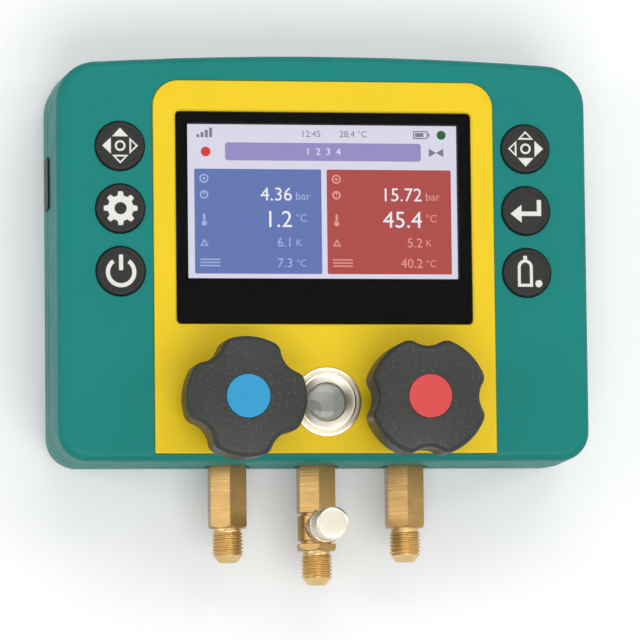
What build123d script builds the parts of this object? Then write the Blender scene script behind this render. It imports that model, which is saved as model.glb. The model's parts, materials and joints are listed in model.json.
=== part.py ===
from build123d import *
import math
import os

# A digital manifold gauge for refrigerant circuits. A two-shell moulded housing carries a colour
# display with six keys, and below it a drilled manifold block with two diaphragm valves, a sight
# glass and three flare ports. It rests on its back; a hook folds out of the back for hanging.
# Millimetres. +X is to the right, +Y towards the top edge and +Z out of the face. The origin is on
# the resting plane, at the middle of the overall outline.

# Housing shells, as wide as the frame and the panels beside it
side_panel_width = 34.0
crown_margin = 9.8
crown_rise = 3.5
front_depth = 26.0
wall = 3.0
draft = 1.5
bottom_corner = 11.0
top_corner = 15.0
face_edge = 3.5
back_edge = 5.0
shadow_gap_depth = 0.6
shadow_gap_height = 1.0
foot_height = 1.2
foot_radius = 6.0
foot_sink = 1.0
foot_inset_x = 25.0
foot_inset_y = 13.0
gasket_width = 1.4
gasket_depth = 0.8
rib_thickness = 1.6
rib_height = 5.0
rib_reach = 8.0

# Screws that close the shells
boss_radius = 4.2
boss_inset_x = 9.2
boss_inset_low = 13.0
boss_inset_high = 18.0
screw_radius = 1.7
screw_head_radius = 3.1
screw_head_height = 2.2
screw_grip = 8.0
screw_engagement = 12.0
screw_clearance = 0.15
recess_width = 0.9
recess_depth = 1.1
recess_rim = 1.0
hex_key_flats = 3.0
hex_key_depth = 2.0

# Display, whose lit area sets the size of the window, the frame and the housing
active_width = 95.04
active_height = 53.86
window_side_border = 4.48
window_top_border = 4.07
window_low_border = 16.07
window_thickness = 1.5
window_corner = 1.5
window_fit = 0.15
window_edge = 0.3
mask_thickness = 0.3
aperture_margin = 1.5
mask_margin = 0.3
lcd_side_border = 5.23
lcd_end_border = 6.67
lcd_corner = 1.0
lcd_thickness = 2.9
lcd_gap = 0.2

# Yellow front frame, with the valves in the zone under the window
frame_side_border = 8.0
frame_top_border = 10.9
valve_zone_height = 45.1
frame_thickness = 2.2
frame_proud = 0.8
frame_margin = 3.2
frame_corner = 9.0
frame_fit = 0.15
frame_edge = 0.6

# Main board
board_side_room = 15.0
board_top_room = 10.0
board_above_block = 1.0
board_thickness = 1.6
board_depth = 6.4
board_corner = 3.0
processor_side = 14.0
processor_offset = (-30.0, 8.0)
radio_size = (22.0, 15.0)
radio_offset = (34.0, 14.0)
connector_size = (30.0, 5.0)
connector_offset = (0.0, -22.0)
chip_height = 1.4
post_radius = 3.2
post_inset = 7.0
board_screw_radius = 1.2
board_screw_head_radius = 2.3
board_screw_head_height = 1.6
board_screw_length = 6.0

# Keys
key_beside_frame = 11.5
key_below_window_top = 12.3
key_pitch = 21.8
key_rows = 3
key_radius = 8.5
key_gap = 0.3
key_proud = 1.4
key_edge = 1.1
key_dish_radius = 6.9
key_dish_depth = 0.25
key_flange = 1.4
key_flange_thickness = 0.8
key_play = 0.1
key_travel = 0.8
switch_size = 6.0
switch_plunger_radius = 1.7
switch_plunger_height = 1.2

# Manifold block
block_beyond_valve = 16.5
block_height = 32.0
block_depth = 26.0
block_below_axis = 12.2
block_offset = 4.5
block_edge = 1.5
gallery_radius = 2.0
gallery_rise = 6.5
gallery_drop = 5.5
feed_radius = 1.2
feed_shift = 4.5
sensor_feed_radius = 0.7
sensor_radius = 6.5
sensor_length = 20.0
sensor_depth = 8.5
sensor_thread_radius = 4.8
sensor_thread_length = 6.0
sensor_plug_length = 3.0
plug_radius = 3.0
plug_length = 5.0
block_screw_radius = 2.0
block_screw_head_radius = 3.5
block_screw_head_height = 3.0
block_screw_grip = 4.0
block_screw_inset = 5.5
block_screw_drop = 3.5

# Diaphragm valves, each named for its side of the circuit
valve_inset = 28.5
valve_rise = 21.0
seat_above_axis = 2.0
seat_bore_radius = 2.2
valve_thread_radius = 8.0
diaphragm_thickness = 0.3
pressure_piece_radius = 4.5
pressure_piece_height = 5.0
bonnet_flange_flats = 19.0
bonnet_flange_height = 6.0
bonnet_neck_radius = 6.5
bonnet_neck_above_face = 6.0
stem_thread_radius = 4.0
stem_radius = 3.0
stem_square = 4.6
stem_lift = 1.5
lift_room = 0.5
running_clearance = 0.05
fit_clearance = 0.1
seal_section = 0.9

# Handwheels
wheel_radius = 20.75
wheel_height = 18.0
wheel_above_face = 11.5
wheel_lobes = 4
wheel_notch_radius = 8.5
wheel_notch_depth = 3.2
wheel_lobe_round = 4.2
wheel_rim_round = 2.4
wheel_dome = 2.2
wheel_wall = 2.6
wheel_top_thickness = 5.0
hub_radius = 10.0
hub_drop = 8.5
hub_clearance = 0.6
disc_radius = 7.5
disc_thickness = 1.4
disc_proud = 0.3
wheel_screw_radius = 1.5
wheel_screw_head_radius = 3.6
wheel_screw_head_height = 1.8
wheel_screw_length = 9.0
low_wheel_turn = -6.0
high_wheel_turn = 45.0

# Sight glass
sight_ring_radius = 12.0
sight_ring_height = 2.6
sight_ring_edge = 0.9
sight_body_radius = 9.2
sight_thread_depth = 3.0
sight_bore_radius = 6.8
sight_lens_radius = 8.0
sight_lens_thickness = 4.0
sight_lens_drop = 2.6
sight_seal_thickness = 1.0
sight_well_radius = 6.0
sight_well_depth = 9.0

# Flare ports
port_hex_flats = 12.7
port_hex_reach = 21.5
flare_thread_radius = 5.556
flare_thread_length = 10.0
flare_root_radius = 4.7
flare_nose_radius = 3.1
flare_nose_length = 2.0
port_bore_radius = 2.4
port_shank_radius = 4.9
port_shank_length = 7.5
port_hole_clearance = 0.9
centre_port_extra = 8.0

# Access branch on the centre port
tee_reach = 21.6
tee_radius = 6.6
tee_half_length = 5.5
collar_gap = 1.2
branch_radius = 4.6
branch_height = 15.5
branch_hex_flats = 11.0
branch_hex_height = 6.0
access_thread_radius = 3.85
access_thread_length = 10.0
access_bore_radius = 1.9
core_radius = 1.7
core_length = 9.0
cap_radius = 5.8
cap_length = 16.0
cap_edge = 0.7
cap_foot_gap = 0.5
cap_seal_thickness = 1.2
cap_clearance = 0.12

# Thermocouple sockets, one in each side wall between two closing screws
probe_width = 16.4
probe_height = 9.0
probe_depth = 14.0
probe_flange = 1.0
probe_flange_thickness = 0.6
probe_slot_pitch = 7.9
probe_slot_widths = (3.4, 2.6)
probe_slot_thickness = 1.0
probe_slot_depth = 9.0

# Battery compartment and its door
cell_radius = 7.1
cell_length = 50.0
cell_nub_radius = 2.7
cell_nub_length = 1.2
cell_pitch = 14.8
cell_end_space = 2.6
cell_side_space = 0.3
holder_wall = 1.5
holder_depth = 15.2
holder_floor = 1.5
holder_front_room = 0.65
holder_above_block = 5.7
door_overlap = 3.2
door_thickness = 2.2
door_hinge_radius = 1.5
door_gap = 0.25
door_pin_radius = 0.9
door_pin_length = 2.0
door_latch_width = 16.0
door_latch_depth = 1.6
door_latch_thickness = 1.2
collar_width = 4.0
collar_height = 2.2
contact_thickness = 0.4

# Hanging hook
hook_axis_drop = 11.5
hook_axis_inset = 4.0
hook_thickness = 3.2
hook_knuckle_radius = 3.6
hook_knuckle_half_length = 8.0
hook_shank_width = 9.0
hook_ring_radius = 15.5
hook_ring_width = 6.0
hook_mouth_angle = 70.0
hook_edge = 0.8
hook_pin_radius = 2.0
hook_pin_half_length = 14.0
pocket_depth = 8.2
pocket_skin = 2.4
pocket_clearance = 2.5
pocket_above_door = 3.25
pocket_side = 0.5
pocket_corner = 3.0

# Levels above the resting plane. The battery holder and the pressure sensors in front of it set
# the level of the ports, where the shells part.
back_z = foot_height
inside_back_z = back_z + wall
ledge_z = back_z + door_thickness
holder_back_z = ledge_z + door_gap
holder_front_z = holder_back_z + holder_depth + holder_floor
sensor_above_port = block_depth - block_below_axis - sensor_depth
port_z = holder_front_z + holder_front_room + sensor_radius - sensor_above_port
parting_z = port_z
rear_depth = parting_z - back_z
face_z = parting_z + front_depth
skin_z = face_z - wall
frame_base_z = face_z + frame_proud - frame_thickness
frame_top_z = face_z + frame_proud
board_front_z = skin_z - board_depth
board_back_z = board_front_z - board_thickness
block_base_z = port_z - block_below_axis
block_top_z = block_base_z + block_depth
seat_z = port_z + seat_above_axis

# Widths and heights that follow from the display
window_width = active_width + 2 * window_side_border
window_height = active_height + window_top_border + window_low_border
frame_width = window_width + 2 * frame_side_border
frame_height = valve_zone_height + window_height + frame_top_border
housing_width = frame_width + 2 * side_panel_width
housing_height = frame_margin + frame_height + crown_margin
lcd_width = active_width + 2 * lcd_side_border
lcd_height = active_height + 2 * lcd_end_border
board_width = housing_width - 2 * board_side_room
valve_x = frame_width / 2 - valve_inset
block_width = 2 * (valve_x + block_beyond_valve)

# Places across the face, from the bottom edge up
port_root_reach = port_hex_reach + flare_thread_length + flare_nose_length
centre_port_reach = port_root_reach + centre_port_extra
bottom_y = (centre_port_reach - housing_height) / 2
crown_y = bottom_y + housing_height
shoulder_y = crown_y - crown_rise
valve_y = bottom_y + valve_rise
frame_y = bottom_y + frame_margin + frame_height / 2
window_low_y = bottom_y + frame_margin + valve_zone_height
window_y = window_low_y + window_height / 2
active_y = window_low_y + window_low_border + active_height / 2
block_bottom_y = bottom_y + block_offset
block_y = block_bottom_y + block_height / 2
block_top_y = block_bottom_y + block_height
board_low_y = block_top_y + board_above_block
board_high_y = shoulder_y - board_top_room
board_y = (board_low_y + board_high_y) / 2
board_height = board_high_y - board_low_y

# Keys, the posts between them and the display, and the closing screws
key_x = frame_width / 2 + key_beside_frame
key_top_y = window_low_y + window_height - key_below_window_top
key_rows_y = [key_top_y - row * key_pitch for row in range(key_rows)]
key_points = [(side * key_x, height) for side in (-1, 1) for height in key_rows_y]
post_x = (lcd_width / 2 + key_x - key_radius - key_flange) / 2
post_rows_y = (board_low_y + post_inset, board_y, board_high_y - post_inset)
post_points = [(side * post_x, height) for side in (-1, 1) for height in post_rows_y]
boss_x = housing_width / 2 - boss_inset_x
boss_mid_y = (key_rows_y[-2] + key_rows_y[-1]) / 2
boss_high_y = shoulder_y - boss_inset_high
boss_rows_y = (bottom_y + boss_inset_low, boss_mid_y, boss_high_y)
screw_points = [(side * boss_x, height) for side in (-1, 1) for height in boss_rows_y]
probe_y = (boss_mid_y + boss_high_y) / 2
block_screw_places = (
    (block_width / 2 - block_screw_inset, block_bottom_y + block_screw_inset),
    (valve_x / 2, block_top_y - block_screw_drop),
)
block_screw_points = [(side * across, up) for side in (-1, 1) for across, up in block_screw_places]
foot_points = [
    (side * (housing_width / 2 - foot_inset_x), height)
    for side in (-1, 1)
    for height in (bottom_y + foot_inset_y, shoulder_y - foot_inset_y)
]
port_places = (-valve_x, 0.0, valve_x)


def keep(piece, name):
    """Labels a finished piece and writes it as its own node."""
    piece.label = name
    export_step(piece, f"parts/{name}.step")


def upright(x, y):
    """The vertical plane through (x, y), in which a profile is given as (radius, height)."""
    return Plane(origin=(x, y, 0), x_dir=(1, 0, 0), z_dir=(0, -1, 0))


def upright_axis(x, y):
    return Axis((x, y, 0), (0, 0, 1))


def outline(plane, points):
    """A face on the plane, bounded by straight lines through the points."""
    with BuildSketch(plane) as face:
        with BuildLine():
            Polyline(*points, close=True)
        make_face()
    return face.sketch


def housing_sketch(z, inset):
    """The housing's plan, with its arched top edge, drawn in by the inset."""
    half = housing_width / 2 - inset
    low = bottom_y + inset
    shoulder = shoulder_y - inset
    with BuildSketch(Plane.XY.offset(z)) as plan:
        with BuildLine():
            Polyline((-half, shoulder), (-half, low), (half, low), (half, shoulder))
            ThreePointArc((half, shoulder), (0, crown_y - inset), (-half, shoulder))
        make_face()
        fillet(plan.vertices().group_by(Axis.Y)[0], bottom_corner - inset)
        fillet(plan.vertices().group_by(Axis.Y)[-1], top_corner - inset)
    return plan.sketch


def frame_sketch(z, grow):
    """The front frame's plan: rounded above and square below."""
    with BuildSketch(Plane.XY.offset(z)) as plan:
        with Locations((0, frame_y)):
            Rectangle(frame_width + 2 * grow, frame_height + 2 * grow)
        fillet(plan.vertices().group_by(Axis.Y)[-1], frame_corner + grow)
    return plan.sketch


def panel_sketch(z, y, width, height, corner):
    """A rounded rectangle on the centre line."""
    with BuildSketch(Plane.XY.offset(z)) as plan:
        with Locations((0, y)):
            RectangleRounded(width, height, corner)
    return plan.sketch


def discs_sketch(z, points, radius):
    """One disc at each point."""
    with BuildSketch(Plane.XY.offset(z)) as plan:
        with Locations(*points):
            Circle(radius)
    return plan.sketch


def cross_sketch(z, points, head_radius):
    """A cross recess for each screw head."""
    reach = 2 * (head_radius - recess_rim)
    with BuildSketch(Plane.XY.offset(z)) as plan:
        with Locations(*points):
            Rectangle(reach, recess_width)
            Rectangle(recess_width, reach)
    return plan.sketch


def hexagon_sketch(plane, flats):
    with BuildSketch(plane) as plan:
        RegularPolygon(flats / 2, 6, major_radius=False)
    return plan.sketch


def lobes_sketch(z, inset, corner):
    """The lobed plan of a handwheel, drawn in by the inset."""
    notch_distance = wheel_radius - wheel_notch_depth + wheel_notch_radius
    with BuildSketch(Plane.XY.offset(z)) as lobes:
        Circle(wheel_radius - inset)
        with PolarLocations(notch_distance, wheel_lobes, start_angle=180 / wheel_lobes):
            Circle(wheel_notch_radius + inset, mode=Mode.SUBTRACT)
        fillet(lobes.vertices(), corner)
    return lobes.sketch


def port_holes_sketch():
    """The three round openings in the bottom wall, on a plane just inside it."""
    with BuildSketch(Plane.XZ.offset(-bottom_y - wall - 1)) as plan:
        with Locations(*[(x, port_z) for x in port_places]):
            Circle(port_hex_flats / math.sqrt(3) + port_hole_clearance)
    return plan.sketch


def probe_holes_sketch():
    """The opening for a thermocouple socket, seen along X."""
    with BuildSketch(Plane.YZ) as plan:
        with Locations((probe_y, parting_z)):
            Rectangle(probe_width + 2 * fit_clearance, probe_height + 2 * fit_clearance)
    return plan.sketch


# Housing shells

# Cut round both shells where they meet
with BuildPart() as shadow_gap:
    extrude(housing_sketch(parting_z, -wall), amount=shadow_gap_height / 2, both=True)
    extrude(
        housing_sketch(parting_z, shadow_gap_depth),
        amount=shadow_gap_height / 2,
        both=True,
        mode=Mode.SUBTRACT,
    )

with BuildPart() as housing_gasket:
    extrude(housing_sketch(parting_z, (wall - gasket_width) / 2), amount=-gasket_depth)
    extrude(housing_sketch(parting_z, (wall + gasket_width) / 2), amount=-gasket_depth, mode=Mode.SUBTRACT)
    extrude(port_holes_sketch(), amount=wall + 2, mode=Mode.SUBTRACT)
    extrude(probe_holes_sketch(), amount=housing_width, both=True, mode=Mode.SUBTRACT)

with BuildPart() as front_housing:
    extrude(housing_sketch(parting_z, 0), amount=front_depth, taper=draft)
    fillet(front_housing.faces().sort_by(Axis.Z)[-1].outer_wire().edges(), face_edge)
    add(shadow_gap.part, mode=Mode.SUBTRACT)
    extrude(housing_sketch(parting_z, wall), amount=front_depth - wall, taper=draft, mode=Mode.SUBTRACT)
    # Bosses for the closing screws, and posts for the board
    extrude(discs_sketch(parting_z, screw_points, boss_radius), amount=front_depth - wall)
    extrude(discs_sketch(board_front_z, post_points, post_radius), amount=board_depth)
    # Pocket for the front frame, and the openings under it
    extrude(frame_sketch(frame_base_z, frame_fit), amount=frame_thickness, mode=Mode.SUBTRACT)
    extrude(
        panel_sketch(
            skin_z,
            active_y,
            active_width + 2 * aperture_margin,
            active_height + 2 * aperture_margin,
            window_corner,
        ),
        amount=wall,
        mode=Mode.SUBTRACT,
    )
    extrude(
        discs_sketch(skin_z, [(-valve_x, valve_y), (valve_x, valve_y)], bonnet_neck_radius + lift_room),
        amount=wall,
        mode=Mode.SUBTRACT,
    )
    extrude(
        discs_sketch(skin_z, [(0, valve_y)], sight_body_radius + lift_room),
        amount=wall,
        mode=Mode.SUBTRACT,
    )
    extrude(discs_sketch(skin_z, key_points, key_radius + key_gap), amount=wall, mode=Mode.SUBTRACT)
    # Pilot holes, and the openings that both shells share
    extrude(
        discs_sketch(parting_z, screw_points, screw_radius + fit_clearance),
        amount=screw_engagement,
        mode=Mode.SUBTRACT,
    )
    extrude(
        discs_sketch(board_front_z, post_points, board_screw_radius + fit_clearance),
        amount=board_depth,
        mode=Mode.SUBTRACT,
    )
    extrude(port_holes_sketch(), amount=wall + 2, mode=Mode.SUBTRACT)
    extrude(probe_holes_sketch(), amount=housing_width, both=True, mode=Mode.SUBTRACT)

# The door turns about its lower edge, and its compartment holds two rows of two cells
holder_inner_width = 2 * (cell_length + cell_nub_length + 2 * cell_end_space)
holder_inner_height = cell_pitch + 2 * (cell_radius + cell_side_space)
holder_width = holder_inner_width + 2 * holder_wall
holder_height = holder_inner_height + 2 * holder_wall
battery_y = block_top_y + holder_above_block + holder_height / 2
opening_width = holder_width + 2 * door_gap
opening_height = holder_height + 2 * door_gap
door_width = opening_width + 2 * door_overlap
door_height = opening_height + 2 * door_overlap
door_low_y = battery_y - door_height / 2
door_high_y = battery_y + door_height / 2
door_axis_y = door_low_y + door_hinge_radius
door_axis_z = back_z + door_hinge_radius
rib_x = door_width / 2 + collar_width + rib_thickness / 2

# The hook swings about a line near the top edge, and folds into a pocket above the door
hook_axis_y = crown_y - hook_axis_drop
hook_axis_z = back_z + hook_axis_inset
pocket_low_y = door_high_y + pocket_above_door
hook_ring_y = pocket_low_y + pocket_clearance + hook_ring_radius
pocket_half_width = hook_ring_radius + pocket_clearance
channel_half_width = hook_knuckle_half_length + pocket_side
pocket_neck_y = hook_ring_y + hook_ring_radius + pocket_clearance


def pocket_sketch(grow):
    """The hook's pocket in plan: wide round the ring, narrow up to the top edge."""
    low = pocket_low_y - grow
    neck = pocket_neck_y + grow
    with BuildSketch(Plane.XY.offset(back_z)) as plan:
        with Locations((0, (low + neck) / 2)):
            RectangleRounded(2 * (pocket_half_width + grow), neck - low, pocket_corner + grow)
        with Locations((0, (low + crown_y) / 2)):
            Rectangle(2 * (channel_half_width + grow), crown_y - low - 2 * pocket_corner)
    return plan.sketch


with BuildPart() as rear_housing:
    extrude(housing_sketch(parting_z, 0), amount=rear_depth, dir=(0, 0, -1), taper=draft)
    fillet(rear_housing.faces().sort_by(Axis.Z)[0].outer_wire().edges(), back_edge)
    add(shadow_gap.part, mode=Mode.SUBTRACT)
    extrude(
        housing_sketch(parting_z, wall),
        amount=rear_depth - wall,
        dir=(0, 0, -1),
        taper=draft,
        mode=Mode.SUBTRACT,
    )
    # Bosses for the closing screws, posts under the manifold block, and ribs on the back wall
    extrude(discs_sketch(inside_back_z, screw_points, boss_radius), amount=rear_depth - wall)
    extrude(
        discs_sketch(inside_back_z, block_screw_points, boss_radius),
        amount=block_base_z - inside_back_z,
    )
    with BuildSketch(Plane.XY.offset(inside_back_z)) as ribs:
        with Locations((-rib_x, battery_y), (rib_x, battery_y)):
            Rectangle(rib_thickness, door_height + 2 * (collar_width + rib_reach))
    extrude(amount=rib_height)
    # Collar round the battery opening, and the hook pocket's walls
    extrude(
        panel_sketch(
            inside_back_z,
            battery_y,
            door_width + 2 * collar_width,
            door_height + 2 * collar_width,
            pocket_corner,
        ),
        amount=collar_height,
    )
    extrude(pocket_sketch(pocket_skin), amount=pocket_depth + pocket_skin)
    # The pocket is open through the top edge, so the hook can stand out of it
    extrude(pocket_sketch(0), amount=pocket_depth, mode=Mode.SUBTRACT)
    with BuildSketch(Plane.XY.offset(back_z)) as channel:
        with Locations((0, crown_y)):
            Rectangle(2 * channel_half_width, 2 * (crown_y - hook_axis_y))
    extrude(amount=pocket_depth, mode=Mode.SUBTRACT)
    with BuildSketch(Plane.YZ) as pin_hole:
        with Locations((hook_axis_y, hook_axis_z)):
            Circle(hook_pin_radius + running_clearance)
    extrude(amount=hook_pin_half_length + fit_clearance, both=True, mode=Mode.SUBTRACT)
    # Battery opening, the ledge that the door lies on, and the trough for its hinge edge
    extrude(
        panel_sketch(back_z, battery_y, opening_width, opening_height, 1.0),
        amount=wall + collar_height,
        mode=Mode.SUBTRACT,
    )
    extrude(
        panel_sketch(back_z, battery_y, door_width + 2 * door_gap, door_height + 2 * door_gap, 1.0),
        amount=door_thickness,
        mode=Mode.SUBTRACT,
    )
    with BuildSketch(Plane.YZ) as trough:
        with Locations((door_axis_y, door_axis_z)):
            Circle(door_hinge_radius + door_gap)
    extrude(amount=door_width / 2 + door_gap, both=True, mode=Mode.SUBTRACT)
    with BuildSketch(Plane.YZ) as hinge_holes:
        with Locations((door_axis_y, door_axis_z)):
            Circle(door_pin_radius + running_clearance)
    extrude(amount=door_width / 2 + door_pin_length + fit_clearance, both=True, mode=Mode.SUBTRACT)
    with BuildSketch(Plane.XY.offset(ledge_z)) as latch_slot:
        with Locations((0, door_high_y)):
            Rectangle(door_latch_width + 1, 2 * (door_latch_depth + door_gap))
    extrude(amount=door_latch_thickness + 0.4, mode=Mode.SUBTRACT)
    # Screw holes from the back, the pilot holes for the block and the foot recesses
    extrude(
        discs_sketch(back_z, screw_points, screw_head_radius + screw_clearance),
        amount=rear_depth - screw_grip,
        mode=Mode.SUBTRACT,
    )
    extrude(
        discs_sketch(back_z, screw_points, screw_radius + screw_clearance),
        amount=rear_depth,
        mode=Mode.SUBTRACT,
    )
    extrude(
        discs_sketch(block_base_z, block_screw_points, block_screw_radius + fit_clearance),
        amount=-block_screw_grip,
        mode=Mode.SUBTRACT,
    )
    extrude(discs_sketch(back_z, foot_points, foot_radius), amount=foot_sink, mode=Mode.SUBTRACT)
    extrude(port_holes_sketch(), amount=wall + 2, mode=Mode.SUBTRACT)
    extrude(probe_holes_sketch(), amount=housing_width, both=True, mode=Mode.SUBTRACT)
    add(housing_gasket.part, mode=Mode.SUBTRACT)

with BuildPart() as housing_screws:
    extrude(
        discs_sketch(parting_z - screw_grip, screw_points, screw_head_radius),
        amount=-screw_head_height,
    )
    extrude(
        discs_sketch(parting_z - screw_grip, screw_points, screw_radius),
        amount=screw_grip + screw_engagement - 1,
    )
    extrude(
        cross_sketch(parting_z - screw_grip - screw_head_height, screw_points, screw_head_radius),
        amount=recess_depth,
        mode=Mode.SUBTRACT,
    )

with BuildPart() as rubber_feet:
    extrude(discs_sketch(0, foot_points, foot_radius), amount=foot_height + foot_sink)
    chamfer(rubber_feet.edges().group_by(Axis.Z)[0], foot_height / 2)

with BuildPart() as front_frame:
    extrude(frame_sketch(frame_base_z, 0), amount=frame_thickness)
    fillet(front_frame.faces().sort_by(Axis.Z)[-1].outer_wire().edges(), frame_edge)
    extrude(
        panel_sketch(
            frame_base_z,
            window_y,
            window_width + 2 * window_fit,
            window_height + 2 * window_fit,
            window_corner + window_fit,
        ),
        amount=frame_thickness,
        mode=Mode.SUBTRACT,
    )
    chamfer(
        front_frame.faces().sort_by(Axis.Z)[-1].inner_wires().edges(),
        frame_edge,
    )
    extrude(
        discs_sketch(frame_base_z, [(-valve_x, valve_y), (valve_x, valve_y)], bonnet_neck_radius + lift_room),
        amount=frame_thickness,
        mode=Mode.SUBTRACT,
    )
    extrude(
        discs_sketch(frame_base_z, [(0, valve_y)], sight_body_radius + lift_room),
        amount=frame_thickness,
        mode=Mode.SUBTRACT,
    )

# Display

with BuildPart() as display_mask:
    extrude(
        panel_sketch(frame_base_z, window_y, window_width, window_height, window_corner),
        amount=mask_thickness,
    )
    with BuildSketch(Plane.XY.offset(frame_base_z)) as mask_opening:
        with Locations((0, active_y)):
            Rectangle(active_width + 2 * mask_margin, active_height + 2 * mask_margin)
    extrude(amount=mask_thickness, mode=Mode.SUBTRACT)

with BuildPart() as display_window:
    extrude(
        panel_sketch(frame_base_z + mask_thickness, window_y, window_width, window_height, window_corner),
        amount=window_thickness,
    )
    chamfer(display_window.faces().sort_by(Axis.Z)[-1].outer_wire().edges(), window_edge)

lcd_back_z = skin_z - lcd_gap - lcd_thickness
with BuildPart() as lcd_module:
    extrude(panel_sketch(lcd_back_z, active_y, lcd_width, lcd_height, lcd_corner), amount=lcd_thickness)

with BuildPart() as main_board:
    extrude(panel_sketch(board_back_z, board_y, board_width, board_height, board_corner), amount=board_thickness)
    extrude(
        discs_sketch(board_back_z, post_points, board_screw_radius + fit_clearance),
        amount=board_thickness,
        mode=Mode.SUBTRACT,
    )
    # Processor, radio module and display connector on the back
    with BuildSketch(Plane.XY.offset(board_back_z)) as chips:
        with Locations((0, board_y)):
            with Locations(processor_offset):
                Rectangle(processor_side, processor_side)
            with Locations(radio_offset):
                Rectangle(*radio_size)
            with Locations(connector_offset):
                Rectangle(*connector_size)
    extrude(amount=-chip_height)

with BuildPart() as board_screws:
    extrude(
        discs_sketch(board_back_z, post_points, board_screw_head_radius),
        amount=-board_screw_head_height,
    )
    extrude(
        discs_sketch(board_back_z, post_points, board_screw_radius),
        amount=board_screw_length,
    )
    extrude(
        cross_sketch(board_back_z - board_screw_head_height, post_points, board_screw_head_radius),
        amount=recess_depth,
        mode=Mode.SUBTRACT,
    )

# Keys and the switches under them

key_bottom_z = skin_z - key_play - key_flange_thickness
switch_top_z = key_bottom_z - key_travel - key_play
key_names = ("key_arrows_left", "key_settings", "key_power", "key_arrows_right", "key_enter", "key_page")
key_parts = {}
for name, point in zip(key_names, key_points):
    with BuildPart() as key:
        extrude(
            discs_sketch(key_bottom_z, [point], key_radius + key_flange),
            amount=key_flange_thickness,
        )
        extrude(
            discs_sketch(key_bottom_z, [point], key_radius),
            amount=face_z + key_proud - key_bottom_z,
        )
        fillet(key.faces().sort_by(Axis.Z)[-1].outer_wire().edges(), key_edge)
        extrude(
            discs_sketch(face_z + key_proud, [point], key_dish_radius),
            amount=-key_dish_depth,
            mode=Mode.SUBTRACT,
        )
    key_parts[name] = key.part

with BuildPart() as key_switches:
    with BuildSketch(Plane.XY.offset(board_front_z)) as bodies:
        with Locations(*key_points):
            Rectangle(switch_size, switch_size)
    extrude(amount=switch_top_z - switch_plunger_height - board_front_z)
    extrude(
        discs_sketch(switch_top_z, key_points, switch_plunger_radius),
        amount=-switch_plunger_height,
    )

# Manifold block: valve cavities from the front, port bores from below, one cross gallery

gallery_y = valve_y + gallery_rise
gallery_z = port_z - gallery_drop
sensor_z = block_top_z - sensor_depth
sensor_feed_z = seat_z - sensor_feed_radius - 0.4
sight_seat_z = block_top_z - sight_well_depth

with BuildPart() as manifold_block:
    with BuildSketch(Plane.XY.offset(block_base_z)) as block_plan:
        with Locations((0, block_y)):
            Rectangle(block_width, block_height)
    extrude(amount=block_depth)
    chamfer(manifold_block.edges().filter_by(Axis.Z), block_edge)
    # Valve cavities, their seats, and the well behind the sight glass
    for side in (-1, 1):
        extrude(
            discs_sketch(block_top_z, [(side * valve_x, valve_y)], valve_thread_radius),
            amount=seat_z - block_top_z,
            mode=Mode.SUBTRACT,
        )
        extrude(
            discs_sketch(seat_z, [(side * valve_x, valve_y)], seat_bore_radius),
            amount=port_z - seat_z,
            mode=Mode.SUBTRACT,
        )
        # From the cavity's floor down to the cross gallery
        extrude(
            discs_sketch(seat_z, [(side * (valve_x - feed_shift), gallery_y - 1.5)], feed_radius),
            amount=gallery_z - seat_z,
            mode=Mode.SUBTRACT,
        )
        # From the port's bore to the pressure sensor
        with BuildSketch(Plane.XZ.offset(-valve_y)) as sensor_feed:
            with Locations((side * valve_x, sensor_feed_z)):
                Circle(sensor_feed_radius)
        extrude(amount=valve_y - block_top_y + sensor_thread_length, mode=Mode.SUBTRACT)
    extrude(
        discs_sketch(block_top_z, [(0, valve_y)], sight_body_radius + fit_clearance),
        amount=-sight_thread_depth,
        mode=Mode.SUBTRACT,
    )
    extrude(
        discs_sketch(block_top_z, [(0, valve_y)], sight_well_radius),
        amount=-sight_well_depth,
        mode=Mode.SUBTRACT,
    )
    extrude(
        discs_sketch(sight_seat_z, [(0, valve_y)], gallery_radius),
        amount=port_z - sight_seat_z,
        mode=Mode.SUBTRACT,
    )
    # Port bores from the bottom edge, tapped at their mouths
    with BuildSketch(Plane.XZ.offset(-block_bottom_y)) as port_mouths:
        with Locations(*[(x, port_z) for x in port_places]):
            Circle(port_shank_radius + fit_clearance)
    extrude(amount=-port_shank_length - fit_clearance, mode=Mode.SUBTRACT)
    with BuildSketch(Plane.XZ.offset(-block_bottom_y)) as port_bores:
        with Locations(*[(x, port_z) for x in port_places]):
            Circle(port_bore_radius)
    extrude(amount=block_bottom_y - valve_y, mode=Mode.SUBTRACT)
    # The centre port's bore runs on and drops into the gallery
    with BuildSketch(Plane.XZ.offset(-valve_y)) as centre_run:
        with Locations((0, port_z)):
            Circle(gallery_radius)
    extrude(amount=-gallery_rise, mode=Mode.SUBTRACT)
    extrude(
        discs_sketch(port_z, [(0, gallery_y)], gallery_radius - 0.2),
        amount=gallery_z - port_z,
        mode=Mode.SUBTRACT,
    )
    # Cross gallery, drilled from the right and plugged, and the sensor bores from the top edge
    with BuildSketch(Plane.YZ.offset(block_width / 2)) as gallery:
        with Locations((gallery_y, gallery_z)):
            Circle(gallery_radius)
    extrude(amount=-block_width / 2 - valve_x - gallery_radius, mode=Mode.SUBTRACT)
    with BuildSketch(Plane.YZ.offset(block_width / 2)) as plug_mouth:
        with Locations((gallery_y, gallery_z)):
            Circle(plug_radius + fit_clearance)
    extrude(amount=-plug_length - fit_clearance, mode=Mode.SUBTRACT)
    with BuildSketch(Plane.XZ.offset(-block_top_y)) as sensor_mouths:
        with Locations((-valve_x, sensor_z), (valve_x, sensor_z)):
            Circle(sensor_thread_radius + fit_clearance)
    extrude(amount=sensor_thread_length + fit_clearance, mode=Mode.SUBTRACT)
    extrude(
        discs_sketch(block_base_z, block_screw_points, block_screw_radius + fit_clearance),
        amount=block_depth,
        mode=Mode.SUBTRACT,
    )

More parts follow.
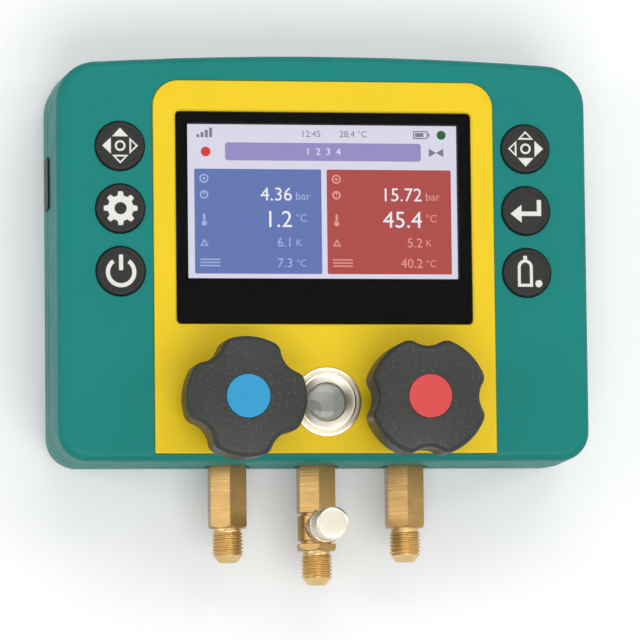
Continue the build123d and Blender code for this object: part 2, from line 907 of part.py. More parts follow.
with BuildPart() as gallery_plug:
    with BuildSketch(Plane.YZ.offset(block_width / 2)) as plug_plan:
        with Locations((gallery_y, gallery_z)):
            Circle(plug_radius)
            RegularPolygon(plug_radius / 2, 6, mode=Mode.SUBTRACT)
    extrude(amount=-plug_length)
    with BuildSketch(Plane.YZ.offset(block_width / 2 - plug_length)) as plug_end:
        with Locations((gallery_y, gallery_z)):
            Circle(plug_radius)
    extrude(amount=plug_length / 2)

with BuildPart() as block_screws:
    extrude(
        discs_sketch(block_top_z, block_screw_points, block_screw_head_radius),
        amount=block_screw_head_height,
    )
    extrude(
        discs_sketch(block_top_z, block_screw_points, block_screw_radius),
        amount=-block_depth - block_screw_grip,
    )
    with BuildSketch(Plane.XY.offset(block_top_z + block_screw_head_height)) as hex_sockets:
        with Locations(*block_screw_points):
            RegularPolygon(hex_key_flats / 2, 6, major_radius=False)
    extrude(amount=-hex_key_depth, mode=Mode.SUBTRACT)

sensor_parts = {}
for side_name, side in (("low", -1), ("high", 1)):
    sensor_plane = Plane(origin=(side * valve_x, block_top_y, sensor_z), x_dir=(1, 0, 0), z_dir=(0, 1, 0))
    with BuildPart() as pressure_sensor:
        with BuildSketch(sensor_plane) as sensor_body:
            Circle(sensor_radius)
        extrude(amount=sensor_length)
        extrude(hexagon_sketch(sensor_plane, 2 * sensor_radius), amount=4)
        with BuildSketch(sensor_plane) as sensor_thread:
            Circle(sensor_thread_radius)
        extrude(amount=-sensor_thread_length)
        with BuildSketch(sensor_plane.offset(sensor_length)) as sensor_plug:
            Rectangle(sensor_radius, sensor_radius)
        extrude(amount=sensor_plug_length)
    sensor_parts[side_name] = pressure_sensor.part

# Diaphragm valves and their handwheels

diaphragm_top_z = seat_z + diaphragm_thickness
stem_foot_z = diaphragm_top_z + pressure_piece_height
stem_shoulder_z = skin_z
bonnet_top_z = face_z + bonnet_neck_above_face
seal_z = (stem_shoulder_z + stem_lift + lift_room + bonnet_top_z) / 2
wheel_bottom_z = face_z + wheel_above_face
wheel_top_z = wheel_bottom_z + wheel_height
hub_bottom_z = wheel_bottom_z - hub_drop
disc_seat_z = wheel_top_z - disc_thickness
screw_seat_z = disc_seat_z - wheel_screw_head_height
square_top_z = screw_seat_z - fit_clearance
square_bottom_z = wheel_bottom_z + 2.0
socket_top_z = square_bottom_z - 1.0
cavity_radius = bonnet_neck_radius + hub_clearance

# One valve stands on the Z axis, and a copy of each piece goes to each side

valve_axis = Axis.Z
valve_plane = Plane.XZ


with BuildPart() as diaphragm:
    extrude(
        discs_sketch(seat_z, [(0, 0)], valve_thread_radius - fit_clearance),
        amount=diaphragm_thickness,
    )

with BuildPart() as pressure_piece:
    extrude(
        discs_sketch(diaphragm_top_z, [(0, 0)], pressure_piece_radius),
        amount=pressure_piece_height,
    )
    chamfer(pressure_piece.edges().group_by(Axis.Z)[0], 0.6)

with BuildPart() as valve_bonnet:
    revolve(
        outline(
            valve_plane,
            [
                (0, diaphragm_top_z),
                (valve_thread_radius - fit_clearance, diaphragm_top_z),
                (valve_thread_radius - fit_clearance, block_top_z),
                (bonnet_neck_radius, block_top_z),
                (bonnet_neck_radius, bonnet_top_z),
                (0, bonnet_top_z),
            ],
        ),
        axis=valve_axis,
    )
    extrude(
        hexagon_sketch(Plane.XY.offset(block_top_z), bonnet_flange_flats),
        amount=bonnet_flange_height,
    )
    chamfer(valve_bonnet.faces().sort_by(Axis.Z)[-1].outer_wire().edges(), 0.8)
    # Bore for the pressure piece, the stem's thread, the seal groove and the stem's shank
    guide_radius = pressure_piece_radius + running_clearance
    guide_top_z = stem_foot_z + stem_lift + lift_room
    thread_radius = stem_thread_radius + running_clearance
    thread_top_z = stem_shoulder_z + stem_lift + lift_room
    groove_radius = stem_radius + running_clearance + 2 * seal_section
    shank_radius = stem_radius + running_clearance
    revolve(
        outline(
            valve_plane,
            [
                (0, diaphragm_top_z),
                (guide_radius, diaphragm_top_z),
                (guide_radius, guide_top_z),
                (thread_radius, guide_top_z),
                (thread_radius, thread_top_z),
                (shank_radius, thread_top_z),
                (shank_radius, seal_z - seal_section),
                (groove_radius, seal_z - seal_section),
                (groove_radius, seal_z + seal_section),
                (shank_radius, seal_z + seal_section),
                (shank_radius, bonnet_top_z),
                (0, bonnet_top_z),
            ],
        ),
        axis=valve_axis,
        mode=Mode.SUBTRACT,
    )

with BuildPart() as stem_seal:
    with BuildSketch(valve_plane) as seal_section_face:
        with Locations((stem_radius + running_clearance + seal_section, seal_z)):
            Circle(seal_section)
    revolve(axis=valve_axis)

with BuildPart() as valve_stem:
    revolve(
        outline(
            valve_plane,
            [
                (0, stem_foot_z),
                (stem_thread_radius, stem_foot_z),
                (stem_thread_radius, stem_shoulder_z),
                (stem_radius, stem_shoulder_z),
                (stem_radius, square_bottom_z),
                (0, square_bottom_z),
            ],
        ),
        axis=valve_axis,
    )
    with BuildSketch(Plane.XY.offset(square_bottom_z)) as square:
        Rectangle(stem_square, stem_square)
        Circle(wheel_screw_radius + fit_clearance, mode=Mode.SUBTRACT)
    extrude(amount=square_top_z - square_bottom_z)

with BuildPart() as handwheel:
    # A shallow dome, cut to the lobed plan
    with BuildSketch(valve_plane) as dome:
        with BuildLine():
            Line((0, wheel_bottom_z), (wheel_radius + 1, wheel_bottom_z))
            Line((wheel_radius + 1, wheel_bottom_z), (wheel_radius + 1, wheel_top_z - wheel_dome))
            SagittaArc(
                (wheel_radius + 1, wheel_top_z - wheel_dome),
                (0, wheel_top_z),
                -wheel_dome / 4,
            )
            Line((0, wheel_top_z), (0, wheel_bottom_z))
        make_face()
    revolve(axis=valve_axis)
    extrude(
        lobes_sketch(wheel_bottom_z, 0, wheel_lobe_round),
        amount=wheel_height,
        mode=Mode.INTERSECT,
    )
    fillet(handwheel.faces().sort_by(Axis.Z)[-1].outer_wire().edges(), wheel_rim_round)
    # The underside is hollow round the hub
    extrude(
        lobes_sketch(wheel_bottom_z, wheel_wall, wheel_lobe_round - wheel_wall),
        amount=wheel_height - wheel_top_thickness - wheel_dome,
        mode=Mode.SUBTRACT,
    )
    extrude(
        discs_sketch(hub_bottom_z, [(0, 0)], hub_radius),
        amount=wheel_top_z - wheel_top_thickness - hub_bottom_z,
    )
    chamfer(handwheel.edges().group_by(Axis.Z)[0], 0.8)
    # The hub drops round the bonnet's neck, and sits on the stem's square
    extrude(
        discs_sketch(hub_bottom_z, [(0, 0)], cavity_radius),
        amount=socket_top_z - hub_bottom_z,
        mode=Mode.SUBTRACT,
    )
    with BuildSketch(Plane.XY.offset(socket_top_z)) as socket:
        Circle(stem_radius + fit_clearance)
    extrude(amount=square_bottom_z - socket_top_z, mode=Mode.SUBTRACT)
    with BuildSketch(Plane.XY.offset(square_bottom_z)) as square_socket:
        Rectangle(stem_square + fit_clearance, stem_square + fit_clearance)
    extrude(amount=disc_seat_z - square_bottom_z, mode=Mode.SUBTRACT)
    extrude(
        discs_sketch(screw_seat_z, [(0, 0)], wheel_screw_head_radius + fit_clearance),
        amount=wheel_height,
        mode=Mode.SUBTRACT,
    )
    extrude(
        discs_sketch(disc_seat_z, [(0, 0)], disc_radius + fit_clearance),
        amount=wheel_height,
        mode=Mode.SUBTRACT,
    )

with BuildPart() as handwheel_screw:
    extrude(
        discs_sketch(screw_seat_z, [(0, 0)], wheel_screw_head_radius),
        amount=wheel_screw_head_height,
    )
    extrude(
        discs_sketch(screw_seat_z, [(0, 0)], wheel_screw_radius),
        amount=-wheel_screw_length,
    )
    extrude(
        cross_sketch(screw_seat_z + wheel_screw_head_height, [(0, 0)], wheel_screw_head_radius),
        amount=-recess_depth,
        mode=Mode.SUBTRACT,
    )

with BuildPart() as handwheel_disc:
    extrude(
        discs_sketch(disc_seat_z, [(0, 0)], disc_radius),
        amount=disc_thickness + disc_proud,
    )
    fillet(handwheel_disc.faces().sort_by(Axis.Z)[-1].edges(), disc_proud)

fixed_pieces = {
    "diaphragm": diaphragm.part,
    "pressure_piece": pressure_piece.part,
    "valve_bonnet": valve_bonnet.part,
    "stem_seal": stem_seal.part,
}
turned_pieces = {
    "valve_stem": valve_stem.part,
    "handwheel": handwheel.part,
    "handwheel_screw": handwheel_screw.part,
    "handwheel_disc": handwheel_disc.part,
}
valve_parts = {}
for side_name, side, wheel_turn in (("low", -1, low_wheel_turn), ("high", 1, high_wheel_turn)):
    place = Location((side * valve_x, valve_y, 0))
    for name, piece in fixed_pieces.items():
        valve_parts[f"{side_name}_{name}"] = piece.moved(place)
    for name, piece in turned_pieces.items():
        valve_parts[f"{side_name}_{name}"] = piece.moved(place * Rotation(0, 0, wheel_turn))

# Sight glass, screwed into the block over its well

sight_plane = upright(0, valve_y)
sight_axis = upright_axis(0, valve_y)
lens_top_z = frame_top_z - sight_lens_drop
lens_bottom_z = lens_top_z - sight_lens_thickness
ring_top_z = frame_top_z + sight_ring_height
ring_foot_z = block_top_z - sight_thread_depth
lens_pocket_radius = sight_lens_radius + fit_clearance

with BuildPart() as sight_glass_ring:
    revolve(
        outline(
            sight_plane,
            [
                (sight_bore_radius + 1.2, ring_top_z),
                (sight_ring_radius - sight_ring_edge, ring_top_z),
                (sight_ring_radius, ring_top_z - sight_ring_edge),
                (sight_ring_radius, frame_top_z),
                (sight_body_radius, frame_top_z),
                (sight_body_radius, ring_foot_z),
                (sight_well_radius, ring_foot_z),
                (sight_well_radius, lens_bottom_z - sight_seal_thickness),
                (lens_pocket_radius, lens_bottom_z - sight_seal_thickness),
                (lens_pocket_radius, lens_top_z),
                (sight_bore_radius, lens_top_z),
                (sight_bore_radius, ring_top_z - 1.2),
            ],
        ),
        axis=sight_axis,
    )

with BuildPart() as sight_glass_lens:
    extrude(
        discs_sketch(lens_bottom_z, [(0, valve_y)], sight_lens_radius),
        amount=sight_lens_thickness,
    )

with BuildPart() as sight_glass_seal:
    with BuildSketch(Plane.XY.offset(lens_bottom_z)) as seal_ring:
        with Locations((0, valve_y)):
            Circle(sight_lens_radius)
            Circle(sight_well_radius, mode=Mode.SUBTRACT)
    extrude(amount=-sight_seal_thickness)

# Flare ports, turned from hexagon bar and screwed into the block's bottom edge

hex_corner_radius = port_hex_flats / math.sqrt(3)
hex_bevel = hex_corner_radius - port_hex_flats / 2


def flare_profile(x, tip_y):
    """Half the outside of a male flare and its nose, ending at tip_y, as points on the XY plane."""
    thread_y = tip_y + flare_nose_length
    root_y = thread_y + flare_thread_length
    bevel = flare_thread_radius - flare_root_radius
    return [
        (x, tip_y),
        (x + flare_nose_radius, tip_y),
        (x + flare_root_radius, thread_y),
        (x + flare_thread_radius, thread_y + bevel / 2),
        (x + flare_thread_radius, root_y),
        (x, root_y),
    ]


def port_hexagon(x, y):
    """The port's hexagon on a plane that faces away from the block, with two flats level."""
    plane = Plane(origin=(x, y, port_z), x_dir=(0, 0, 1), z_dir=(0, -1, 0))
    return hexagon_sketch(plane, port_hex_flats)


def hexagon_envelope(x, start_y, end_y):
    """The bevelled cylinder that rounds a hexagon's corners off at both ends."""
    return outline(
        Plane.XY.offset(port_z),
        [
            (x, start_y),
            (x + port_hex_flats / 2, start_y),
            (x + hex_corner_radius, start_y - hex_bevel),
            (x + hex_corner_radius, end_y + hex_bevel),
            (x + port_hex_flats / 2, end_y),
            (x, end_y),
        ],
    )


hex_end_y = bottom_y - port_hex_reach
side_tip_y = bottom_y - port_root_reach
port_parts = {}
for side_name, side in (("low", -1), ("high", 1)):
    x = side * valve_x
    port_axis = Axis((x, 0, port_z), (0, 1, 0))
    with BuildPart() as flare_port:
        extrude(port_hexagon(x, block_bottom_y), amount=block_bottom_y - hex_end_y)
        revolve(hexagon_envelope(x, block_bottom_y, hex_end_y), axis=port_axis, mode=Mode.INTERSECT)
        revolve(outline(Plane.XY.offset(port_z), flare_profile(x, side_tip_y)), axis=port_axis)
        with BuildSketch(Plane.XZ.offset(-block_bottom_y)) as shank:
            with Locations((x, port_z)):
                Circle(port_shank_radius)
        extrude(amount=-port_shank_length)
        with BuildSketch(Plane.XZ.offset(-side_tip_y)) as bore:
            with Locations((x, port_z)):
                Circle(port_bore_radius)
        extrude(amount=side_tip_y - block_bottom_y - port_shank_length, mode=Mode.SUBTRACT)
    port_parts[f"{side_name}_port"] = flare_port.part

tee_y = bottom_y - tee_reach
neck_end_y = tee_y + tee_half_length
collar_start_y = tee_y - tee_half_length
centre_hex_end_y = bottom_y - port_hex_reach - centre_port_extra
centre_tip_y = bottom_y - centre_port_reach
branch_hex_z = port_z + branch_height
access_foot_z = branch_hex_z + branch_hex_height
access_tip_z = access_foot_z + access_thread_length

with BuildPart() as centre_port:
    centre_axis = Axis((0, 0, port_z), (0, 1, 0))
    extrude(port_hexagon(0, block_bottom_y), amount=block_bottom_y - centre_hex_end_y)
    revolve(hexagon_envelope(0, block_bottom_y, centre_hex_end_y), axis=centre_axis, mode=Mode.INTERSECT)
    # A round waist on both sides of the tee
    with BuildSketch(Plane.XZ.offset(-neck_end_y)) as waist:
        with Locations((0, port_z)):
            Circle(hex_corner_radius)
            Circle(tee_radius - collar_gap, mode=Mode.SUBTRACT)
    extrude(amount=2 * tee_half_length, mode=Mode.SUBTRACT)
    with BuildSketch(Plane.XZ.offset(-neck_end_y + collar_gap)) as tee_body:
        with Locations((0, port_z)):
            Circle(tee_radius)
    extrude(amount=2 * (tee_half_length - collar_gap))
    revolve(outline(Plane.XY.offset(port_z), flare_profile(0, centre_tip_y)), axis=centre_axis)
    with BuildSketch(Plane.XZ.offset(-block_bottom_y)) as centre_shank:
        with Locations((0, port_z)):
            Circle(port_shank_radius)
    extrude(amount=-port_shank_length)
    # The branch stands up from the tee
    extrude(discs_sketch(port_z, [(0, tee_y)], branch_radius), amount=branch_height)
    extrude(
        hexagon_sketch(Plane(origin=(0, tee_y, branch_hex_z)), branch_hex_flats),
        amount=branch_hex_height,
    )
    extrude(discs_sketch(access_foot_z, [(0, tee_y)], access_thread_radius), amount=access_thread_length)
    extrude(
        discs_sketch(port_z, [(0, tee_y)], access_bore_radius),
        amount=access_tip_z - port_z,
        mode=Mode.SUBTRACT,
    )
    with BuildSketch(Plane.XZ.offset(-centre_tip_y)) as centre_bore:
        with Locations((0, port_z)):
            Circle(port_bore_radius)
    extrude(amount=centre_tip_y - block_bottom_y - port_shank_length, mode=Mode.SUBTRACT)

with BuildPart() as access_core:
    extrude(discs_sketch(access_tip_z - 1, [(0, tee_y)], core_radius), amount=-core_length)
    extrude(discs_sketch(access_tip_z - 1, [(0, tee_y)], core_radius / 2), amount=1)

cap_ceiling_z = access_tip_z + cap_seal_thickness
cap_top_z = access_foot_z + cap_foot_gap + cap_length
with BuildPart() as access_cap:
    extrude(discs_sketch(cap_top_z, [(0, tee_y)], cap_radius), amount=-cap_length)
    chamfer(access_cap.edges().group_by(Axis.Z)[-1], cap_edge)
    extrude(
        discs_sketch(cap_ceiling_z, [(0, tee_y)], access_thread_radius + cap_clearance),
        amount=-cap_length,
        mode=Mode.SUBTRACT,
    )

with BuildPart() as access_cap_seal:
    extrude(
        discs_sketch(access_tip_z, [(0, tee_y)], access_thread_radius - fit_clearance),
        amount=cap_seal_thickness,
    )

# Thermocouple sockets

probe_parts = {}
for side_name, side in (("low", -1), ("high", 1)):
    probe_face_x = side * (housing_width / 2 + probe_flange_thickness)
    probe_plane = Plane(origin=(probe_face_x, probe_y, parting_z), x_dir=(0, 1, 0), z_dir=(-side, 0, 0))
    with BuildPart() as probe_socket:
        with BuildSketch(probe_plane) as flange:
            RectangleRounded(
                probe_width + 2 * probe_flange,
                probe_height + 2 * probe_flange,
                2.0,
            )
        extrude(amount=probe_flange_thickness)
        with BuildSketch(probe_plane) as probe_body:
            Rectangle(probe_width, probe_height)
        extrude(amount=probe_depth)
        for place, slot_width in zip((-0.5, 0.5), probe_slot_widths):
            with BuildSketch(probe_plane) as slot:
                with Locations((place * probe_slot_pitch, 0)):
                    Rectangle(slot_width, probe_slot_thickness)
            extrude(amount=probe_slot_depth, mode=Mode.SUBTRACT)
    probe_parts[f"{side_name}_probe_socket"] = probe_socket.part

# Battery holder, cells, contacts and door

with BuildPart() as battery_holder:
    extrude(
        panel_sketch(holder_back_z, battery_y, holder_width, holder_height, 1.0),
        amount=holder_depth + holder_floor,
    )
    with BuildSketch(Plane.XY.offset(holder_back_z)) as compartments:
        with Locations((-holder_inner_width / 4, battery_y), (holder_inner_width / 4, battery_y)):
            Rectangle(holder_inner_width / 2 - holder_wall / 2, holder_inner_height)
    extrude(amount=holder_depth, mode=Mode.SUBTRACT)

cell_z = holder_back_z + holder_depth - cell_radius - 0.3
cell_centre_x = holder_inner_width / 4 + holder_wall / 4
cell_rows_y = (battery_y - cell_pitch / 2, battery_y + cell_pitch / 2)
with BuildPart() as batteries:
    for side in (-1, 1):
        for row_y, nub in zip(cell_rows_y, (-1, 1)):
            start = side * cell_centre_x - nub * (cell_length + cell_nub_length) / 2
            cell_plane = Plane(origin=(start, row_y, cell_z), x_dir=(0, 1, 0), z_dir=(nub, 0, 0))
            with BuildSketch(cell_plane) as can:
                Circle(cell_radius)
            extrude(amount=cell_length)
            with BuildSketch(cell_plane.offset(cell_length)) as nub_face:
                Circle(cell_nub_radius)
            extrude(amount=cell_nub_length)

contact_faces = [
    (side * cell_centre_x + end * (cell_length + cell_nub_length + 2 * contact_thickness) / 2, row_y)
    for side in (-1, 1)
    for end in (-1, 1)
    for row_y in cell_rows_y
]
with BuildPart() as battery_contacts:
    with BuildSketch(Plane.XY.offset(cell_z - cell_radius)) as contacts:
        with Locations(*contact_faces):
            Rectangle(contact_thickness, cell_radius * 1.4)
    extrude(amount=2 * cell_radius)

with BuildPart() as battery_door:
    with BuildSketch(Plane.XY.offset(back_z)) as door_plan:
        with Locations((0, (door_axis_y + door_high_y) / 2)):
            Rectangle(door_width, door_high_y - door_axis_y)
        fillet(door_plan.vertices().group_by(Axis.Y)[-1], 1.0)
    extrude(amount=door_thickness)
    with BuildSketch(Plane.YZ) as hinge_edge:
        with Locations((door_axis_y, door_axis_z)):
            Circle(door_hinge_radius)
    extrude(amount=door_width / 2, both=True)
    with BuildSketch(Plane.YZ) as hinge_pins:
        with Locations((door_axis_y, door_axis_z)):
            Circle(door_pin_radius)
    extrude(amount=door_width / 2 + door_pin_length, both=True)
    with BuildSketch(Plane.XY.offset(ledge_z)) as latch:
        with Locations((0, door_high_y)):
            Rectangle(door_latch_width, 2 * door_latch_depth)
    extrude(amount=door_latch_thickness)
    # Finger ridges by the latch
    with BuildSketch(Plane.XY.offset(back_z)) as finger_grooves:
        with Locations(*[(0, door_high_y - 3.0 - 2.2 * step) for step in range(3)]):
            SlotOverall(2 * door_latch_width, 1.0)
    extrude(amount=0.6, mode=Mode.SUBTRACT)

# Hanging hook and its pin

with BuildPart() as hanging_hook:
    hook_low_z = hook_axis_z - hook_thickness / 2
    ring_mid_radius = hook_ring_radius - hook_ring_width / 2
    with BuildSketch(Plane.XY.offset(hook_low_z)) as hook_plan:
        with Locations((0, hook_ring_y)):
            Circle(hook_ring_radius)
            Circle(hook_ring_radius - hook_ring_width, mode=Mode.SUBTRACT)
        # The mouth opens on the left, beside the shank
        mouth_end = math.radians(180)
        mouth_start = math.radians(180 - hook_mouth_angle)
        reach = 2 * hook_ring_radius
        with BuildLine():
            Polyline(
                (0, hook_ring_y),
                (reach * math.cos(mouth_end), hook_ring_y + reach * math.sin(mouth_end)),
                (-reach, hook_ring_y + reach),
                (reach * math.cos(mouth_start), hook_ring_y + reach * math.sin(mouth_start)),
                close=True,
            )
        make_face(mode=Mode.SUBTRACT)
        with Locations((-ring_mid_radius, hook_ring_y)):
            Circle(hook_ring_width / 2)
        with Locations((0, (hook_ring_y + hook_ring_radius + hook_axis_y) / 2 - hook_ring_width / 4)):
            Rectangle(hook_shank_width, hook_axis_y - hook_ring_y - hook_ring_radius + hook_ring_width / 2)
    extrude(amount=hook_thickness)
    with BuildSketch(Plane.YZ) as knuckle:
        with Locations((hook_axis_y, hook_axis_z)):
            Circle(hook_knuckle_radius)
    extrude(amount=hook_knuckle_half_length, both=True)
    with BuildSketch(Plane.YZ) as knuckle_bore:
        with Locations((hook_axis_y, hook_axis_z)):
            Circle(hook_pin_radius + running_clearance)
    extrude(amount=hook_knuckle_half_length, both=True, mode=Mode.SUBTRACT)

with BuildPart() as hook_pin:
    with BuildSketch(Plane.YZ) as pin_section:
        with Locations((hook_axis_y, hook_axis_z)):
            Circle(hook_pin_radius)
    extrude(amount=hook_pin_half_length, both=True)

pieces = {
    "front_housing": front_housing.part,
    "rear_housing": rear_housing.part,
    "housing_gasket": housing_gasket.part,
    "housing_screws": housing_screws.part,
    "rubber_feet": rubber_feet.part,
    "front_frame": front_frame.part,
    "display_mask": display_mask.part,
    "display_window": display_window.part,
    "lcd_module": lcd_module.part,
    "main_board": main_board.part,
    "board_screws": board_screws.part,
    "key_switches": key_switches.part,
    "manifold_block": manifold_block.part,
    "gallery_plug": gallery_plug.part,
    "block_screws": block_screws.part,
    "low_pressure_sensor": sensor_parts["low"],
    "high_pressure_sensor": sensor_parts["high"],
    "sight_glass_ring": sight_glass_ring.part,
    "sight_glass_lens": sight_glass_lens.part,
    "sight_glass_seal": sight_glass_seal.part,
    "centre_port": centre_port.part,
    "access_core": access_core.part,
    "access_cap": access_cap.part,
    "access_cap_seal": access_cap_seal.part,
    "battery_holder": battery_holder.part,
    "batteries": batteries.part,
    "battery_contacts": battery_contacts.part,
    "battery_door": battery_door.part,
    "hanging_hook": hanging_hook.part,
    "hook_pin": hook_pin.part,
}
pieces |= key_parts | valve_parts | port_parts | probe_parts
os.makedirs("parts", exist_ok=True)
for name, piece in pieces.items():
    keep(piece, name)
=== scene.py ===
"""Looks for the digital manifold gauge: materials, threads, key symbols, screen, camera and lights."""

import json
import math

import bmesh
import bpy
from mathutils import Matrix, Vector


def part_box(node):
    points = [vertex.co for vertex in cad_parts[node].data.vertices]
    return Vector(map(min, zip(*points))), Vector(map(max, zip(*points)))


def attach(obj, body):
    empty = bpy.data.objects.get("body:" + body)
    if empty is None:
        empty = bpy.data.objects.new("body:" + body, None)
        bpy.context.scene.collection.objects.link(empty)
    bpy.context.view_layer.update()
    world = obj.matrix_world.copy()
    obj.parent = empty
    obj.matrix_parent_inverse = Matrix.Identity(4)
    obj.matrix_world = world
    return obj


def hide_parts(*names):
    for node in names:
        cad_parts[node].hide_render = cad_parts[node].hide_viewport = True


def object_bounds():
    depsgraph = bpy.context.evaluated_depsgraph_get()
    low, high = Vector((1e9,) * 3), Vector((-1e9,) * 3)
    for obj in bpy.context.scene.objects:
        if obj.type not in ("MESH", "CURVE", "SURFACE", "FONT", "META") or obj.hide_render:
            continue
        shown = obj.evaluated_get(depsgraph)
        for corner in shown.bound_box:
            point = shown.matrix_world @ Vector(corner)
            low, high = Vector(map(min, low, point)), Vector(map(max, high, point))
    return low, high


MM = 0.001

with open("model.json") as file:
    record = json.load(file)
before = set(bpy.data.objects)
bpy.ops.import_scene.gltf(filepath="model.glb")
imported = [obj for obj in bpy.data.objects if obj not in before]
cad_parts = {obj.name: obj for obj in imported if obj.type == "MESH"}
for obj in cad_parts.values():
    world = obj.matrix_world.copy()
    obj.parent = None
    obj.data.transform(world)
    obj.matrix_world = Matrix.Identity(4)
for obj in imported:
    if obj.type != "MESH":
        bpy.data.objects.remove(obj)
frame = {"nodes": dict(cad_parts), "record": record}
cad_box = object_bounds()
nodes = frame["nodes"]
scene = bpy.context.scene


# Colours


def linear(red, green, blue):
    """A display colour, 0 to 255, as the linear colour that shaders take."""
    channels = []
    for value in (red, green, blue):
        share = value / 255
        channels.append(share / 12.92 if share <= 0.04045 else ((share + 0.055) / 1.055) ** 2.4)
    return (*channels, 1.0)


def scaled(colour, factor):
    """The colour made darker or lighter."""
    return (*[min(1.0, channel * factor) for channel in colour[:3]], 1.0)


TEAL = linear(8, 130, 121)
YELLOW = linear(244, 208, 26)
BRASS = linear(176, 142, 90)
BRASS_DULL = linear(138, 107, 64)
# A lighter copy of the same brass for the cut threads: painted light that offsets the shade between the
# thread's flanks.
BRASS_THREAD_PAINTED_LIGHTER = linear(222, 192, 136)
NICKEL = linear(232, 224, 205)


# Material graphs


class Graph:
    """A material's node tree, with short ways to add and join nodes."""

    def __init__(self, name):
        self.material = bpy.data.materials.new(name)
        self.material.use_nodes = True
        self.tree = self.material.node_tree
        self.tree.nodes.clear()
        output = self.tree.nodes.new("ShaderNodeOutputMaterial")
        self.shader = self.tree.nodes.new("ShaderNodeBsdfPrincipled")
        self.join(self.shader.outputs[0], output.inputs["Surface"])
        self.place = self.tree.nodes.new("ShaderNodeTexCoord").outputs["Object"]

    def join(self, source, target):
        """Links an output to a socket."""
        self.tree.links.new(source, target)

    def feed(self, socket, value):
        """Joins an output to the socket, or sets a plain value on it."""
        if hasattr(value, "is_output"):
            self.join(value, socket)
        else:
            socket.default_value = value

    def add(self, kind, inputs=None, **settings):
        """A new node, with its settings and its inputs filled."""
        node = self.tree.nodes.new(kind)
        for name, value in settings.items():
            setattr(node, name, value)
        for name, value in (inputs or {}).items():
            self.feed(node.inputs[name], value)
        return node

    def drive(self, **sources):
        """Joins outputs to the shader's sockets."""
        for name, source in sources.items():
            self.join(source, self.shader.inputs[name.replace("_", " ")])

    def set(self, **values):
        """Sets constants on the shader's own sockets."""
        for name, value in values.items():
            self.shader.inputs[name.replace("_", " ")].default_value = value

    def stretch(self, scale):
        """The place scaled by its own factor along X, Y and Z."""
        return self.add("ShaderNodeMapping", {"Vector": self.place, "Scale": scale}).outputs[0]

    def axes(self):
        """The place split into its three coordinates, in metres."""
        return self.add("ShaderNodeSeparateXYZ", {"Vector": self.place}).outputs

    def noise(self, scale, detail=2.0, roughness=0.5, vector=None):
        """Noise with about as many features in a metre as its scale says."""
        inputs = {
            "Vector": vector or self.place,
            "Scale": scale,
            "Detail": detail,
            "Roughness": roughness,
        }
        return self.add("ShaderNodeTexNoise", inputs).outputs[0]

    def math(self, operation, first, second=0.0, clamp=False):
        """A sum, product or comparison of two values or outputs."""
        node = self.add("ShaderNodeMath", operation=operation, use_clamp=clamp)
        self.feed(node.inputs[0], first)
        self.feed(node.inputs[1], second)
        return node.outputs[0]

    def span(self, value, low, high, to_low, to_high):
        """The value's run from low to high as a run between two others."""
        inputs = {"Value": value, 1: low, 2: high, 3: to_low, 4: to_high}
        return self.add("ShaderNodeMapRange", inputs).outputs[0]

    def spread(self, noise, to_low, to_high):
        """A noise's middle, where most of it lies, as a run between two values."""
        return self.span(noise, 0.3, 0.7, to_low, to_high)

    def mix(self, share, first, second):
        """A mix of two colours."""
        node = self.add("ShaderNodeMix", data_type="RGBA")
        self.feed(node.inputs[0], share)
        self.feed(node.inputs[6], first)
        self.feed(node.inputs[7], second)
        return node.outputs[2]

    def rounded(self, radius):
        """A normal that softens sharp edges over the radius."""
        return self.add("ShaderNodeBevel", {"Radius": radius}, samples=4).outputs[0]

    def bump(self, height, distance, normal):
        """The normal tilted by a height that spans the distance."""
        inputs = {"Height": height, "Distance": distance, "Normal": normal}
        return self.add("ShaderNodeBump", inputs).outputs[0]

    def edges(self, soft_normal, sharpness=9.0):
        """One along sharp edges, where the softened normal leaves the true one."""
        true_normal = self.add("ShaderNodeNewGeometry").outputs["Normal"]
        dot = self.add("ShaderNodeVectorMath", operation="DOT_PRODUCT")
        self.join(soft_normal, dot.inputs[0])
        self.join(true_normal, dot.inputs[1])
        apart = self.math("SUBTRACT", 1.0, dot.outputs["Value"])
        return self.math("MULTIPLY", apart, sharpness, clamp=True)


# Radii over which edges look softened

CRISP_EDGE = 0.2 * MM
MOULDED_EDGE = 0.35 * MM
SLEEVE_EDGE = 0.4 * MM
BLUNT_EDGE = 0.5 * MM


def moulded(name, colour, roughness, grain=0.45, depth=0.012, wear=0.35, tint=0.06, specular=0.3):
    """Moulded plastic: a spark-eroded grain, faint colour clouds and edges polished by handling.

    The grain's size and depth are in millimetres. Wear is how strongly the edges are polished, and
    tint is how far the colour varies.
    """
    graph = Graph(name)
    soft = graph.rounded(MOULDED_EDGE)
    clouds = graph.noise(38, detail=3)
    base = graph.mix(clouds, scaled(colour, 1 - tint), scaled(colour, 1 + tint))
    patches = graph.span(graph.noise(220, detail=4), 0.42, 0.62, 0, wear)
    polished = graph.math("MULTIPLY", graph.edges(soft), patches)
    polished_colour = scaled(colour, 1.9)
    polished_gain = graph.math("MULTIPLY", polished, 0.15)
    uneven = graph.spread(graph.noise(90, detail=4), roughness - 0.05, roughness + 0.07)
    flow = graph.bump(graph.noise(150), 0.02 * MM, soft)
    graph.drive(
        Base_Color=graph.mix(polished, base, polished_colour),
        Roughness=graph.math("SUBTRACT", uneven, polished_gain),
        Normal=graph.bump(graph.noise(1 / (grain * MM), roughness=0.6), depth * MM, flow),
    )
    graph.set(Specular_IOR_Level=specular)
    return graph.material


